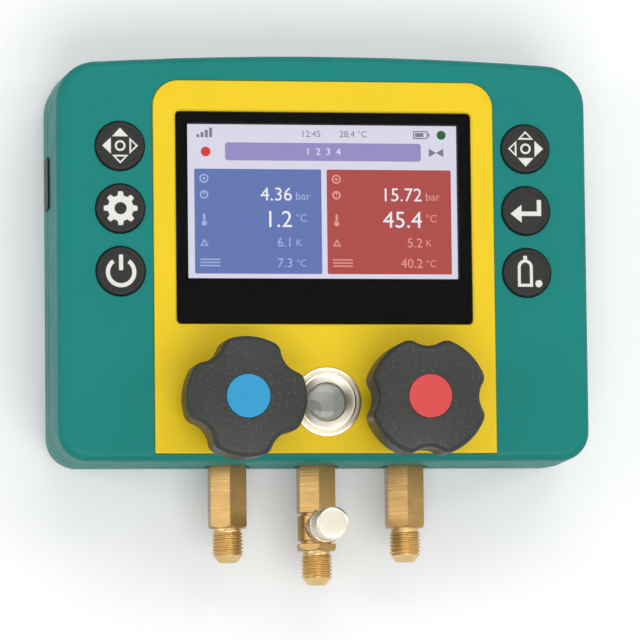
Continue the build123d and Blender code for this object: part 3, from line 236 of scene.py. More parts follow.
def speckled(name, colour, painted_glint_and_wear):
    """Glass-filled plastic: dark, with painted glints on the tips of a coarse grain and edges lightened by
    rubbing.
    """
    graph = Graph(name)
    soft = graph.rounded(BLUNT_EDGE)
    tips = graph.noise(1300, roughness=0.7)
    # Painted highlight: the grain's tips are painted in the lighter colour as glints.
    painted_glints = graph.span(tips, 0.58, 0.7, 0, 0.35)
    patches = graph.span(graph.noise(160, detail=4), 0.35, 0.65, 0.1, 0.5)
    rubbed = graph.math("MULTIPLY", graph.edges(soft, sharpness=7.0), patches)
    clouds = graph.noise(45, detail=3)
    base = graph.mix(clouds, scaled(colour, 0.88), scaled(colour, 1.15))
    flow = graph.bump(clouds, 0.03 * MM, soft)
    graph.drive(
        # The lighter colour paints both the glints, which are painted highlights, and the rubbed edges'
        # wear.
        Base_Color=graph.mix(graph.math("MAXIMUM", painted_glints, rubbed), base, painted_glint_and_wear),
        Roughness=graph.spread(graph.noise(70, detail=4), 0.36, 0.5),
        Normal=graph.bump(tips, 0.05 * MM, flow),
    )
    graph.set(Specular_IOR_Level=0.35)
    return graph.material


def rubber(name, colour, roughness=0.62, grain=0.3, depth=0.01, specular=0.3):
    """Rubber: dull, with dust in its grain, whose size and depth are in millimetres."""
    graph = Graph(name)
    most_dust = 0.35
    dust = graph.span(graph.noise(130, detail=5, roughness=0.6), 0.5, 0.75, 0, most_dust)
    graph.drive(
        Base_Color=graph.mix(dust, colour, scaled(colour, 1.8)),
        Roughness=graph.span(dust, 0, most_dust, roughness, roughness + 0.12),
        Normal=graph.bump(graph.noise(1 / (grain * MM)), depth * MM, graph.rounded(MOULDED_EDGE)),
    )
    graph.set(Specular_IOR_Level=specular)
    return graph.material


def turned(name, colour, roughness, packing, tarnish=None):
    """Metal off a lathe: fine rings, packed closer along one axis, and tarnish in patches."""
    graph = Graph(name)
    rings = graph.noise(55, detail=3, roughness=0.6, vector=graph.stretch(packing))
    base = graph.mix(graph.noise(70, detail=3), scaled(colour, 0.93), scaled(colour, 1.05))
    if tarnish:
        patches = graph.span(graph.noise(160, detail=5, roughness=0.62), 0.48, 0.72, 0, 0.35)
        base = graph.mix(patches, base, tarnish)
    graph.drive(
        Base_Color=base,
        Roughness=graph.spread(rings, roughness - 0.06, roughness + 0.08),
        Normal=graph.bump(rings, 0.004 * MM, graph.rounded(CRISP_EDGE)),
    )
    graph.set(Metallic=1.0)
    return graph.material


def plated(name, colour, roughness, mottle=500, contrast=1.0):
    """Plated or machined metal: a fine mottle and soft edges."""
    graph = Graph(name)
    cells = graph.noise(mottle, detail=3, roughness=0.6)
    dark, light = scaled(colour, 1 - 0.14 * contrast), scaled(colour, 1 + 0.08 * contrast)
    smooth, rough = roughness - 0.08 * contrast, roughness + 0.1 * contrast
    graph.drive(
        Base_Color=graph.mix(cells, dark, light),
        Roughness=graph.spread(cells, smooth, rough),
        Normal=graph.bump(cells, 0.004 * contrast * MM, graph.rounded(CRISP_EDGE)),
    )
    graph.set(Metallic=1.0)
    return graph.material


def clear_glass(name, tint, roughness, index=1.5, gloss=1.0, clear=1.0):
    """Clear glass with faint smears. A coat against glare takes its gloss under one."""
    graph = Graph(name)
    smears = graph.noise(60, detail=4, roughness=0.6, vector=graph.stretch((1, 3, 1)))
    graph.drive(Roughness=graph.span(smears, 0.45, 0.8, roughness, roughness + 0.05))
    graph.set(Base_Color=tint, Transmission_Weight=clear, IOR=index)
    graph.set(Specular_Tint=(gloss, gloss, gloss, 1))
    return graph.material


SCREEN_DOTS_PER_METRE = 5000.0


def lit(name, colour, strength=0.92):
    """A lit part of the screen, with the panel's fine dot structure."""
    graph = Graph(name)
    inputs = {"Vector": graph.place, "Scale": SCREEN_DOTS_PER_METRE}
    dots = graph.add("ShaderNodeTexChecker", inputs).outputs["Fac"]
    graph.drive(Emission_Color=graph.mix(dots, scaled(colour, 0.96), colour))
    graph.set(Base_Color=(0.01, 0.01, 0.012, 1), Roughness=0.5)
    graph.set(Specular_IOR_Level=0.03, Emission_Strength=strength)
    return graph.material


def board_mask(name):
    """Solder mask over copper: a green ground with fine straight tracks."""
    graph = Graph(name)
    inputs = {
        "Vector": graph.place,
        "Scale": 160.0,
        "Mortar Size": 0.06,
        "Color1": linear(18, 92, 56),
        "Color2": linear(14, 80, 48),
        "Mortar": linear(44, 126, 78),
    }
    tracks = graph.add("ShaderNodeTexBrick", inputs).outputs
    graph.drive(
        Base_Color=tracks["Color"],
        Normal=graph.bump(tracks["Fac"], 0.03 * MM, graph.rounded(CRISP_EDGE)),
    )
    graph.set(Roughness=0.35)
    return graph.material


CELL_HALF_LENGTH = 25.6
CELL_BAND_START = 15.0
CELL_TIP = 1.1


def cell_sleeve(name):
    """Dark sleeves on the cells, a pale band at each plus end and bare metal at the tips."""
    graph = Graph(name)
    low_corner, high_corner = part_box("batteries")
    middle_x = high_corner.x - CELL_HALF_LENGTH * MM
    middle_y = (low_corner.y + high_corner.y) / 2
    x, y, _ = graph.axes()
    along = graph.math("SUBTRACT", x, graph.math("MULTIPLY", graph.math("SIGN", x), middle_x))
    facing = graph.math("SIGN", graph.math("SUBTRACT", y, middle_y))
    towards_plus = graph.math("MULTIPLY", along, facing)
    off_middle = graph.math("ABSOLUTE", towards_plus)
    band = graph.math("GREATER_THAN", towards_plus, CELL_BAND_START * MM)
    bare = graph.math("GREATER_THAN", off_middle, (CELL_HALF_LENGTH - CELL_TIP) * MM)
    mottle = graph.noise(300, detail=3)
    dark = graph.mix(mottle, linear(38, 42, 48), linear(48, 52, 60))
    pale = graph.mix(mottle, linear(186, 190, 196), linear(206, 210, 214))
    graph.drive(
        Base_Color=graph.mix(bare, graph.mix(band, dark, pale), linear(204, 204, 200)),
        Metallic=bare,
        Roughness=graph.spread(mottle, 0.22, 0.36),
        Normal=graph.bump(mottle, 0.01 * MM, graph.rounded(SLEEVE_EDGE)),
    )
    return graph.material


# One material for each slot of the record

materials = {
    "housing": moulded("teal_plastic", TEAL, 0.46, specular=0.22),
    "frame": moulded("yellow_plastic", YELLOW, 0.38, grain=0.6, depth=0.01, wear=0.2, tint=0.04),
    "window": clear_glass("window_glass", (1, 1, 1, 1), 0.01, gloss=0.25),
    "mask": rubber("window_border", (0.003, 0.003, 0.0032, 1), 0.5, 0.8, depth=0.0002, specular=0.03),
    "screen": lit("screen_edge", linear(60, 60, 66), 0.3),
    "board": board_mask("solder_mask"),
    "key": rubber("key_rubber", linear(34, 33, 30), 0.5, grain=0.35, depth=0.008),
    "switch": moulded("switch_plastic", linear(30, 30, 32), 0.5),
    "fastener": plated("zinc_plate", linear(178, 180, 184), 0.34),
    "black_rubber": rubber("black_rubber", linear(30, 30, 30)),
    "block": plated("machined_block", linear(196, 198, 202), 0.36, mottle=260),
    "brass": turned("turned_brass", BRASS, 0.31, (1, 60, 1), BRASS_DULL),
    "stainless": turned("stainless", linear(180, 182, 186), 0.26, (1, 1, 60)),
    # The wheels' last colour is their painted glint and the lighter tone of their worn edges.
    "wheel": speckled("wheel_plastic", linear(44, 46, 43), linear(116, 116, 108)),
    "blue_disc": moulded("blue_plastic", linear(50, 156, 205), 0.32, grain=0.9, depth=0.006, wear=0.1),
    "red_disc": moulded("red_plastic", linear(218, 76, 76), 0.32, grain=0.9, depth=0.006, wear=0.1),
    "nickel": turned("nickel_plate", NICKEL, 0.3, (1, 1, 50)),
    "sight_lens": clear_glass("sight_glass", linear(236, 240, 234), 0.02, index=1.52, clear=0.8),
    "socket": moulded("socket_plastic", linear(30, 31, 30), 0.45),
    "holder": moulded("holder_plastic", linear(34, 34, 36), 0.5),
    "cell": cell_sleeve("cell_sleeve"),
    "contact": plated("contact_plate", linear(200, 196, 186), 0.25),
    "hook": plated("hook_plate", linear(150, 152, 156), 0.36, mottle=900, contrast=0.5),
}
slot_of = {row["node"]: row["material_slot"] for row in frame["record"]["subparts"]}
for name, node in nodes.items():
    node.data.materials.clear()
    node.data.materials.append(materials[slot_of[name]])


# Places and sizes read from the frame, in millimetres


def centre(node):
    """The middle of a node's box in X and Y."""
    low_corner, high_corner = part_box(node)
    middle = (low_corner + high_corner) / 2
    return middle.x / MM, middle.y / MM


def heights(node):
    """The foot and the top of a node's box."""
    low_corner, high_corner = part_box(node)
    return low_corner.z / MM, high_corner.z / MM


def round_radius(node):
    """The radius of an upright round node."""
    low_corner, high_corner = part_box(node)
    return (high_corner.x - low_corner.x) / 2 / MM


# Mesh helpers


def new_piece(name, mesh, slot, body, material=None):
    """A finished piece that rides on a body and takes its finish from a slot."""
    piece = bpy.data.objects.new(name, mesh)
    scene.collection.objects.link(piece)
    mesh.materials.clear()
    mesh.materials.append(material or materials[slot])
    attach(piece, body)
    return piece


def smooth_by_angle(mesh, degrees):
    """Smooth faces, with edges sharper than the angle kept crisp."""
    mesh.polygons.foreach_set("use_smooth", [True] * len(mesh.polygons))
    mesh.set_sharp_from_angle(angle=math.radians(degrees))
    mesh.update()


def solid_from(curve, low_z, high_z):
    """The mesh of a flat curve or text, as thick as the space between two heights."""
    curve.extrude = (high_z - low_z) / 2 * MM
    carrier = bpy.data.objects.new(curve.name, curve)
    scene.collection.objects.link(carrier)
    bpy.context.view_layer.update()
    mesh = bpy.data.meshes.new_from_object(carrier.evaluated_get(bpy.context.evaluated_depsgraph_get()))
    bpy.data.objects.remove(carrier)
    mesh.transform(Matrix.Translation((0, 0, (low_z + high_z) / 2 * MM)))
    return mesh


def flat_mesh(name, loops, low_z, high_z):
    """A flat solid bounded by closed loops of (x, y) in millimetres; inner loops are holes."""
    curve = bpy.data.curves.new(name, "CURVE")
    curve.dimensions = "2D"
    curve.fill_mode = "BOTH"
    for loop in loops:
        spline = curve.splines.new("POLY")
        spline.points.add(len(loop) - 1)
        for point, (x, y) in zip(spline.points, loop):
            point.co = (x * MM, y * MM, 0, 1)
        spline.use_cyclic_u = True
    return solid_from(curve, low_z, high_z)


def text_mesh(name, words, size, x, y, low_z, high_z, align):
    """Figures as a flat solid, size and place in millimetres."""
    curve = bpy.data.curves.new(name, "FONT")
    curve.body = words
    curve.size = size * MM
    curve.align_x = align
    curve.align_y = "CENTER"
    curve.resolution_u = 3
    mesh = solid_from(curve, low_z, high_z)
    mesh.transform(Matrix.Translation((x * MM, y * MM, 0)))
    return mesh


def joined(name, meshes):
    """Several meshes as one."""
    whole = bmesh.new()
    for mesh in meshes:
        whole.from_mesh(mesh)
    result = bpy.data.meshes.new(name)
    whole.to_mesh(result)
    whole.free()
    return result


LATHE_STEPS = 96


def lathe(name, rings, place, tube=False):
    """A turned form. Each ring is (distance along the axis, radius or its function of angle).

    place takes a distance along the axis, a radius and an angle, and gives a point in millimetres.
    A tube's last ring joins its first; otherwise both ends are closed by discs.
    """
    whole = bmesh.new()
    loops = []
    for along, radius in rings:
        loop = []
        for step in range(LATHE_STEPS):
            angle = 2 * math.pi * step / LATHE_STEPS
            here = radius(angle) if callable(radius) else radius
            loop.append(whole.verts.new(Vector(place(along, here, angle)) * MM))
        loops.append(loop)
    pairs = list(zip(loops, loops[1:]))
    if tube:
        pairs.append((loops[-1], loops[0]))
    else:
        whole.faces.new(loops[0])
        whole.faces.new(loops[-1])
    for first, second in pairs:
        for step in range(LATHE_STEPS):
            after = (step + 1) % LATHE_STEPS
            whole.faces.new((first[step], first[after], second[after], second[step]))
    bmesh.ops.recalc_face_normals(whole, faces=whole.faces[:])
    mesh = bpy.data.meshes.new(name)
    whole.to_mesh(mesh)
    whole.free()
    return mesh


def upright(node, foot_z=0.0):
    """The place that lathe takes, for an axis that stands on a node's middle and starts at foot_z."""
    x, y = centre(node)

    def place(along, radius, angle):
        return x + radius * math.cos(angle), y + radius * math.sin(angle), foot_z + along

    return place


# Outlines in millimetres

ARC_STEPS = 24
CIRCLE_STEPS = 36
CORNER_STEPS = 6


def arc(x, y, radius, start, end, steps=ARC_STEPS):
    """Points along an arc, angles in degrees."""
    points = []
    for step in range(steps + 1):
        angle = math.radians(start + (end - start) * step / steps)
        points.append((x + radius * math.cos(angle), y + radius * math.sin(angle)))
    return points


def circle(x, y, radius):
    last = CIRCLE_STEPS - 1
    return arc(x, y, radius, 0, 360 * last / CIRCLE_STEPS, last)


def stroke_arc(x, y, radius, width, start, end):
    """A bent stroke of one width."""
    return arc(x, y, radius + width / 2, start, end) + arc(x, y, radius - width / 2, end, start)


def rectangle(left, low, right, high, corner=0.0):
    """A rectangle, with rounded corners where a corner radius is given."""
    if not corner:
        return [(left, low), (right, low), (right, high), (left, high)]
    loop = arc(right - corner, low + corner, corner, -90, 0, CORNER_STEPS)
    loop += arc(right - corner, high - corner, corner, 0, 90, CORNER_STEPS)
    loop += arc(left + corner, high - corner, corner, 90, 180, CORNER_STEPS)
    return loop + arc(left + corner, low + corner, corner, 180, 270, CORNER_STEPS)


def placed(loops, x, y, degrees=0.0):
    """Loops turned about the origin and moved to (x, y)."""
    cos, sin = math.cos(math.radians(degrees)), math.sin(math.radians(degrees))
    return [[(x + px * cos - py * sin, y + px * sin + py * cos) for px, py in loop] for loop in loops]


# Key symbols, printed in the dished tops and drawn about the key's middle


def arrow_symbol(bold):
    """Four arrowheads round a ring; the solid ones say which way the key moves."""
    ring_outer, ring_inner = 1.9, 1.15
    base, tip, half_width = 3.2, 6.3, 2.9
    inner_base, inner_tip, inner_half = 3.85, 5.4, 1.6
    loops = [circle(0, 0, ring_outer), circle(0, 0, ring_inner)]
    for degrees in (0, 90, 180, 270):
        head = [[(base, -half_width), (base, half_width), (tip, 0)]]
        if degrees not in bold:
            head.append([(inner_base, -inner_half), (inner_base, inner_half), (inner_tip, 0)])
        loops += placed(head, 0, 0, degrees)
    return loops


def settings_symbol():
    """A cog with a round hole."""
    teeth = 8
    tip_radius, root_radius, hole_radius = 5.9, 4.5, 2.1
    tip_half_angle = 8
    root_start, root_end = 14, 31
    rim = []
    for tooth in range(teeth):
        middle = tooth * 360 / teeth
        rim += arc(0, 0, tip_radius, middle - tip_half_angle, middle + tip_half_angle, 4)
        rim += arc(0, 0, root_radius, middle + root_start, middle + root_end, 4)
    return [rim, circle(0, 0, hole_radius)]


def power_symbol():
    """A broken ring with a bar in its gap."""
    ring_y, ring_radius, stroke = -0.4, 4.6, 1.5
    ring = stroke_arc(0, ring_y, ring_radius, stroke, 125, 415)
    return [ring, rectangle(-stroke / 2, 0.2, stroke / 2, 5.7, 0.35)]


def enter_symbol():
    """An arrow that turns back to the left."""
    shaft_low, shaft_high = -1.9, -0.3
    riser_left, riser_right = 3.7, 5.3
    head_x = -1.7
    return [
        [
            (riser_right, 3.8),
            (riser_left, 3.8),
            (riser_left, shaft_high),
            (head_x, shaft_high),
            (head_x, 2.1),
            (-5.7, -1.1),
            (head_x, -4.3),
            (head_x, shaft_low),
            (riser_right, shaft_low),
        ]
    ]


def bottle(x, radius, foot, shoulder):
    """A round-shouldered bottle outline."""
    return [(x - radius, foot), (x + radius, foot)] + arc(x, shoulder, radius, 0, 180, 16)


def cylinder_symbol():
    """A gas cylinder with its valve, and a dot beside its foot."""
    x = -0.7
    shoulder = 1.9
    valve = rectangle(x - 0.7, 4.6, x + 0.7, 5.9, 0.25)
    dot = circle(4.1, -3.9, 1.3)
    return [bottle(x, 2.7, -5.0, shoulder), bottle(x, 1.6, -3.9, shoulder), valve, dot]


KEY_DISH = 0.25
SYMBOL_SINK = 0.02
SYMBOL_RISE = 0.05
symbol_white = moulded("symbol_white", linear(232, 232, 226), 0.5, depth=0.004, wear=0.0, tint=0.02)
symbols = {
    "key_arrows_left": ("left arrows key", arrow_symbol((90, 180))),
    "key_settings": ("settings key", settings_symbol()),
    "key_power": ("power key", power_symbol()),
    "key_arrows_right": ("right arrows key", arrow_symbol((0, 270))),
    "key_enter": ("enter key", enter_symbol()),
    "key_page": ("page key", cylinder_symbol()),
}
for node_name, (body, loops) in symbols.items():
    dish_z = heights(node_name)[1] - KEY_DISH
    name = f"{node_name}_symbol"
    mesh = flat_mesh(name, placed(loops, *centre(node_name)), dish_z - SYMBOL_SINK, dish_z + SYMBOL_RISE)
    new_piece(name, mesh, "key", body, symbol_white)


# Screen: flat lit shapes on the panel's face, in layers, placed from the edges of its lit area

ACTIVE_WIDTH = 95.04
ACTIVE_HEIGHT = 53.86
LAYER = 0.03
LAYER_GAP = 0.005
GROUND, PANELS, FIGURES = 1, 2, 3
panel_x, panel_y = centre("lcd_module")
screen_z = heights("lcd_module")[1]
left = panel_x - ACTIVE_WIDTH / 2
right = panel_x + ACTIVE_WIDTH / 2
top = panel_y + ACTIVE_HEIGHT / 2
low = panel_y - ACTIVE_HEIGHT / 2

ink = {
    "ground": lit("screen_lavender_white", linear(226, 225, 242)),
    "bar": lit("screen_lavender", linear(152, 145, 202)),
    "blue": lit("screen_blue", linear(98, 119, 184)),
    "red": lit("screen_red", linear(180, 72, 66)),
    "pale": lit("screen_pale", linear(244, 244, 250)),
    "dim_blue": lit("screen_dim_blue", linear(172, 186, 230)),
    "dim_red": lit("screen_dim_red", linear(234, 162, 152)),
    "grey": lit("screen_grey", linear(124, 126, 142)),
    "dot_red": lit("screen_dot_red", linear(222, 50, 56)),
    "dot_green": lit("screen_dot_green", linear(26, 96, 44)),
}


def screen_piece(name, meshes, tone):
    return new_piece(name, joined(name, meshes), "screen", "instrument", ink[tone])


def levels(layer):
    """The bottom and top of a layer; higher layers lie on lower ones."""
    base = screen_z + LAYER * (layer - 1)
    return base + LAYER_GAP, base + LAYER


def screen_shape(name, loops, layer, tone):
    return screen_piece(name, [flat_mesh(name, loops, *levels(layer))], tone)


def screen_words(name, rows, layer, tone):
    """Figures on one layer, each given as (words, size, x, y, align)."""
    meshes = [
        text_mesh(f"{name}_{index}", words, size, x, y, *levels(layer), align)
        for index, (words, size, x, y, align) in enumerate(rows)
    ]
    return screen_piece(name, meshes, tone)


# Boxes of the screen's fields, as left, low, right and high
PANEL_LOW = low + 1.6
PANEL_HIGH = top - 15.6
BLUE_PANEL = (left + 2.3, PANEL_LOW, panel_x - 0.5, PANEL_HIGH)
RED_PANEL = (panel_x + 1.4, PANEL_LOW, right - 2.1, PANEL_HIGH)
TITLE_BAR = (left + 13.2, top - 12.6, right - 12.6, top - 6.3)
PANEL_CORNER = 0.6
TITLE_CORNER = 1.0

# Heights of the screen's rows
STATUS_Y = top - 3.2
RED_DOT_Y = top - 9.6
TITLE_Y = (TITLE_BAR[1] + TITLE_BAR[3]) / 2
PRESSURE_Y = top - 24.6
TEMPERATURE_Y = top - 33.4
DIFFERENCE_Y = top - 41.4
PROBE_Y = top - 48.6

# Places along the rows; insets are from a panel's edges
SIGNAL_X = left + 5.6
RED_DOT_X = left + 6.4
CLOCK_X = panel_x - 4.0
TITLE_X = panel_x + 0.3
AMBIENT_X = panel_x + 11.0
BATTERY_X = right - 12.6
VALVE_X = right - 7.2
GREEN_DOT_X = right - 5.3
MARK_INSET = 3.4
FIGURES_INSET = 10.2
UNITS_INSET = 9.2

# Sizes of the figures and their units
PRESSURE_SIZE = 6.6
TEMPERATURE_SIZE = 8.2
NOTE_SIZE = 4.6
BAR_SIZE = 4.0
DEGREES_SIZE = 3.8
NOTE_UNIT_SIZE = 3.4
TITLE_SIZE = 3.4
STATUS_SIZE = 3.2
BAR_DROP = 0.5
DEGREES_RISE = 0.6

screen_shape("screen_ground", [rectangle(left, low, right, top)], GROUND, "ground")
screen_shape("screen_title_bar", [rectangle(*TITLE_BAR, TITLE_CORNER)], PANELS, "bar")
screen_shape("screen_blue_panel", [rectangle(*BLUE_PANEL, PANEL_CORNER)], PANELS, "blue")
screen_shape("screen_red_panel", [rectangle(*RED_PANEL, PANEL_CORNER)], PANELS, "red")
screen_shape("screen_red_dot", [circle(RED_DOT_X, RED_DOT_Y, 1.7)], PANELS, "dot_red")
screen_shape("screen_green_dot", [circle(GREEN_DOT_X, STATUS_Y, 1.6)], PANELS, "dot_green")


def reading_rows(panel, pressure, temperature):
    """The two large readings of one side."""
    x = panel[2] - FIGURES_INSET
    return [
        (pressure, PRESSURE_SIZE, x, PRESSURE_Y, "RIGHT"),
        (temperature, TEMPERATURE_SIZE, x, TEMPERATURE_Y, "RIGHT"),
    ]


def note_rows(panel, difference, probe):
    """The units of one side, and its two small readings."""
    figures_x = panel[2] - FIGURES_INSET
    units_x = panel[2] - UNITS_INSET
    return [
        ("bar", BAR_SIZE, units_x, PRESSURE_Y - BAR_DROP, "LEFT"),
        ("°C", DEGREES_SIZE, units_x, TEMPERATURE_Y + DEGREES_RISE, "LEFT"),
        (difference, NOTE_SIZE, figures_x, DIFFERENCE_Y, "RIGHT"),
        ("K", NOTE_UNIT_SIZE, units_x, DIFFERENCE_Y, "LEFT"),
        (probe, NOTE_SIZE, figures_x, PROBE_Y, "RIGHT"),
        ("°C", NOTE_UNIT_SIZE, units_x, PROBE_Y, "LEFT"),
    ]


def mark_shapes(panel):
    """Small marks beside the rows: a dial, a thermometer, a difference sign, three lines and a ring."""
    x = panel[0] + MARK_INSET
    dial = [circle(0, 0, 1.5), circle(0, 0, 0.95), rectangle(-0.2, 0, 0.2, 1.1)]
    stem = [rectangle(-0.4, -0.6, 0.4, 2.1, 0.3), circle(0, -1.2, 0.9)]
    delta = [[(-1.5, -1.2), (1.5, -1.2), (0, 1.4)], [(-0.8, -0.8), (0.8, -0.8), (0, 0.6)]]
    lines = [rectangle(-1.5, step, 5.5, step + 0.45) for step in (-1.1, 0.0, 1.1)]
    ring = [circle(0, 0, 1.6), circle(0, 0, 1.1), circle(0, 0, 0.5)]
    rows = (
        (dial, PRESSURE_Y),
        (stem, TEMPERATURE_Y),
        (delta, DIFFERENCE_Y),
        (lines, PROBE_Y),
        (ring, panel[3] - MARK_INSET),
    )
    return [placed(loops, x, y) for loops, y in rows]


readings = reading_rows(BLUE_PANEL, "4.36", "1.2") + reading_rows(RED_PANEL, "15.72", "45.4")
screen_words("screen_readings", readings, FIGURES, "pale")
screen_words("screen_low_notes", note_rows(BLUE_PANEL, "6.1", "7.3"), FIGURES, "dim_blue")
screen_words("screen_high_notes", note_rows(RED_PANEL, "5.2", "40.2"), FIGURES, "dim_red")
for side, panel, tone in (("low", BLUE_PANEL, "dim_blue"), ("high", RED_PANEL, "dim_red")):
    name = f"screen_{side}_marks"
    marks = enumerate(mark_shapes(panel))
    meshes = [flat_mesh(f"{name}_{row}", loops, *levels(FIGURES)) for row, loops in marks]
    screen_piece(name, meshes, tone)

title = ("1  2  3  4", TITLE_SIZE, TITLE_X, TITLE_Y, "CENTER")
screen_words("screen_title", [title], FIGURES, "pale")
status = [
    ("12:45", STATUS_SIZE, CLOCK_X, STATUS_Y, "CENTER"),
    ("28.4 °C", STATUS_SIZE, AMBIENT_X, STATUS_Y, "CENTER"),
]
screen_words("screen_status", status, PANELS, "grey")
bow_tie = [[(-2.6, -1.5), (-2.6, 1.5), (0, 0)], [(2.6, -1.5), (2.6, 1.5), (0, 0)]]
screen_shape("screen_valve_mark", placed(bow_tie, VALVE_X, TITLE_Y), PANELS, "grey")
signal = [rectangle(-2.4 + 1.5 * bar, -1.4, -1.4 + 1.5 * bar, -0.4 + 0.8 * bar) for bar in range(4)]
screen_shape("screen_signal_mark", placed(signal, SIGNAL_X, STATUS_Y), PANELS, "grey")
battery = [rectangle(-2.7, -1.4, 2.5, 1.4, 0.3), rectangle(-2.3, -1.0, 2.1, 1.0)]
battery += [rectangle(-2.0, -0.7, 1.0, 0.7), rectangle(2.6, -0.6, 3.1, 0.6)]
screen_shape("screen_battery_mark", placed(battery, BATTERY_X, STATUS_Y), PANELS, "grey")


# Flare ports with cut threads

PITCH = 1.27
THREAD_ROOT = 4.72
THREAD_CREST = 5.556
THREAD_LENGTH = 10.0
THREAD_RUNOUT = 0.9
THREAD_SEAM = 0.02
NOSE_LENGTH = 2.0
NOSE_RADIUS = 3.1
PORT_BORE = 2.4
PORT_CHAMFER = 0.25
ROWS_PER_PITCH = 12

# The thread's flat root and its flank as shares of half a pitch, and its fading ends in pitches
ROOT_SHARE = 0.12
FLANK_SHARE = 0.72
FADE_IN = 0.5
FADE_OUT = 0.9

port_z = sum(heights("low_port")) / 2
# The threads take the lighter copy of the brass, painted light against the shade in their grooves.
thread_brass_painted_lighter = turned("thread_brass_painted_lighter", BRASS_THREAD_PAINTED_LIGHTER, 0.33, (1, 1, 1), BRASS)


def thread_radius(along, length):
    """The radius of a right-hand thread as a function of angle. It fades at both ends."""
    growth = max(0.0, along / (FADE_IN * PITCH))
    decline = max(0.0, (length - along) / (FADE_OUT * PITCH))
    fade = min(1.0, growth, decline)

    def radius(angle):
        phase = (along / PITCH - angle / (2 * math.pi)) % 1.0
        flank = min(1.0, max(0.0, (1 - abs(2 * phase - 1) - ROOT_SHARE) / FLANK_SHARE))
        return THREAD_ROOT + (THREAD_CREST - THREAD_ROOT) * flank * fade

    return radius


def flare_port(node_name):
    """The node's hexagon and shank as one piece, and its flare with a cut thread as another."""
    x = centre(node_name)[0]
    tip_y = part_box(node_name)[0].y / MM
    flare_end = NOSE_LENGTH + THREAD_LENGTH
    hexagon = bmesh.new()
    hexagon.from_mesh(nodes[node_name].data)
    bmesh.ops.bisect_plane(
        hexagon,
        geom=hexagon.verts[:] + hexagon.edges[:] + hexagon.faces[:],
        plane_co=(0, (tip_y + flare_end - THREAD_SEAM) * MM, 0),
        plane_no=(0, -1, 0),
        clear_outer=True,
    )
    hexagon_mesh = bpy.data.meshes.new(f"{node_name}_hexagon")
    hexagon.to_mesh(hexagon_mesh)
    hexagon.free()
    body = new_piece(hexagon_mesh.name, hexagon_mesh, "brass", "instrument")
    smooth_by_angle(hexagon_mesh, degrees=32)
    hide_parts(node_name)
    rings = [(flare_end + THREAD_SEAM, PORT_BORE), (PORT_CHAMFER, PORT_BORE)]
    rings += [(0.0, PORT_BORE + PORT_CHAMFER), (0.0, NOSE_RADIUS), (NOSE_LENGTH, THREAD_ROOT)]
    rows = round(THREAD_LENGTH / PITCH * ROWS_PER_PITCH)
    for row in range(1, rows + 1):
        along = THREAD_LENGTH * row / rows
        rings.append((NOSE_LENGTH + along, thread_radius(along, THREAD_LENGTH - THREAD_RUNOUT)))
    rings.append((flare_end + THREAD_SEAM, THREAD_CREST))

    def place(along, radius, angle):
        return x + radius * math.cos(angle), tip_y + along, port_z - radius * math.sin(angle)

    thread = lathe(f"{node_name}_thread", rings, place, tube=True)
    new_piece(thread.name, thread, "brass", "instrument", thread_brass_painted_lighter)
    smooth_by_angle(thread, degrees=32)


for node_name in ("low_port", "centre_port", "high_port"):
    flare_port(node_name)


# Access cap with a knurled skirt

CAP_KNURLS = 32
CAP_KNURL_DEPTH = 0.35
CAP_KNURL_LEAN = 0.28
CAP_KNURL_ROWS = 30
CAP_BORE = 3.97
CAP_BORE_CHAMFER = 0.4
CAP_SEAL_ROOM = 0.02
CAP_FOOT_CHAMFER = 0.5
CAP_SKIRT_START = 1.4
CAP_HEAD_HEIGHT = 3.9
CAP_STEP = 0.1
CAP_GROOVE_TOP = 0.8

# The rounded edge of the cap's head, as depths below its top and inside its radius
CAP_CROWN = ((1.0, 0.0), (0.6, 0.12), (0.25, 0.45), (0.05, 0.95), (0.0, 1.4))


def knurl_radius(radius, z):
    """A diamond knurl: two sets of grooves that lean opposite ways."""

    def here(angle):
        turn = angle * CAP_KNURLS / (2 * math.pi)
        first = abs(2 * ((turn + CAP_KNURL_LEAN * z) % 1.0) - 1)
        second = abs(2 * ((turn - CAP_KNURL_LEAN * z) % 1.0) - 1)
        return radius - CAP_KNURL_DEPTH * max(first, second)

    return here


def access_cap():
    """The cap as a turned form: knurled skirt, plain groove and a rounded head."""
    low_z, high_z = heights("access_cap")
    height = high_z - low_z
    radius = round_radius("access_cap")
    bore_depth = heights("access_cap_seal")[1] - low_z + CAP_SEAL_ROOM
    rings = [(bore_depth, CAP_BORE), (CAP_BORE_CHAMFER, CAP_BORE), (0, CAP_BORE + CAP_BORE_CHAMFER)]
    rings += [(0, radius - CAP_FOOT_CHAMFER), (CAP_FOOT_CHAMFER, radius)]
    rings.append((CAP_SKIRT_START - CAP_STEP, radius))
    skirt_end = height - CAP_HEAD_HEIGHT
    for row in range(CAP_KNURL_ROWS + 1):
        z = CAP_SKIRT_START + (skirt_end - CAP_SKIRT_START) * row / CAP_KNURL_ROWS
        rings.append((z, knurl_radius(radius, z)))
    groove = radius - CAP_KNURL_DEPTH
    groove_end = skirt_end + CAP_GROOVE_TOP
    rings += [(skirt_end + CAP_STEP, groove), (groove_end, groove), (groove_end + CAP_STEP, radius)]
    rings += [(height - below, radius - inside) for below, inside in CAP_CROWN]
    mesh = lathe("access_cap_knurled", rings, upright("access_cap", low_z))
    piece = new_piece("access_cap_knurled", mesh, "nickel", "access cap")
    smooth_by_angle(mesh, degrees=30)
    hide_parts("access_cap")


access_cap()


# Sight glass with a domed face, in a stepped bezel

LENS_DOME = 1.6
LENS_BORE = 6.7
LENS_CHAMFER = 0.2
LENS_POLE = 0.2
LENS_STEPS = 10
BEZEL_BORE = 6.8
BEZEL_BODY = 9.2
BEZEL_WELL = 6.0
BEZEL_POCKET = 8.1
BEZEL_HEIGHT = 2.6
SEAL_THICKNESS = 1.0

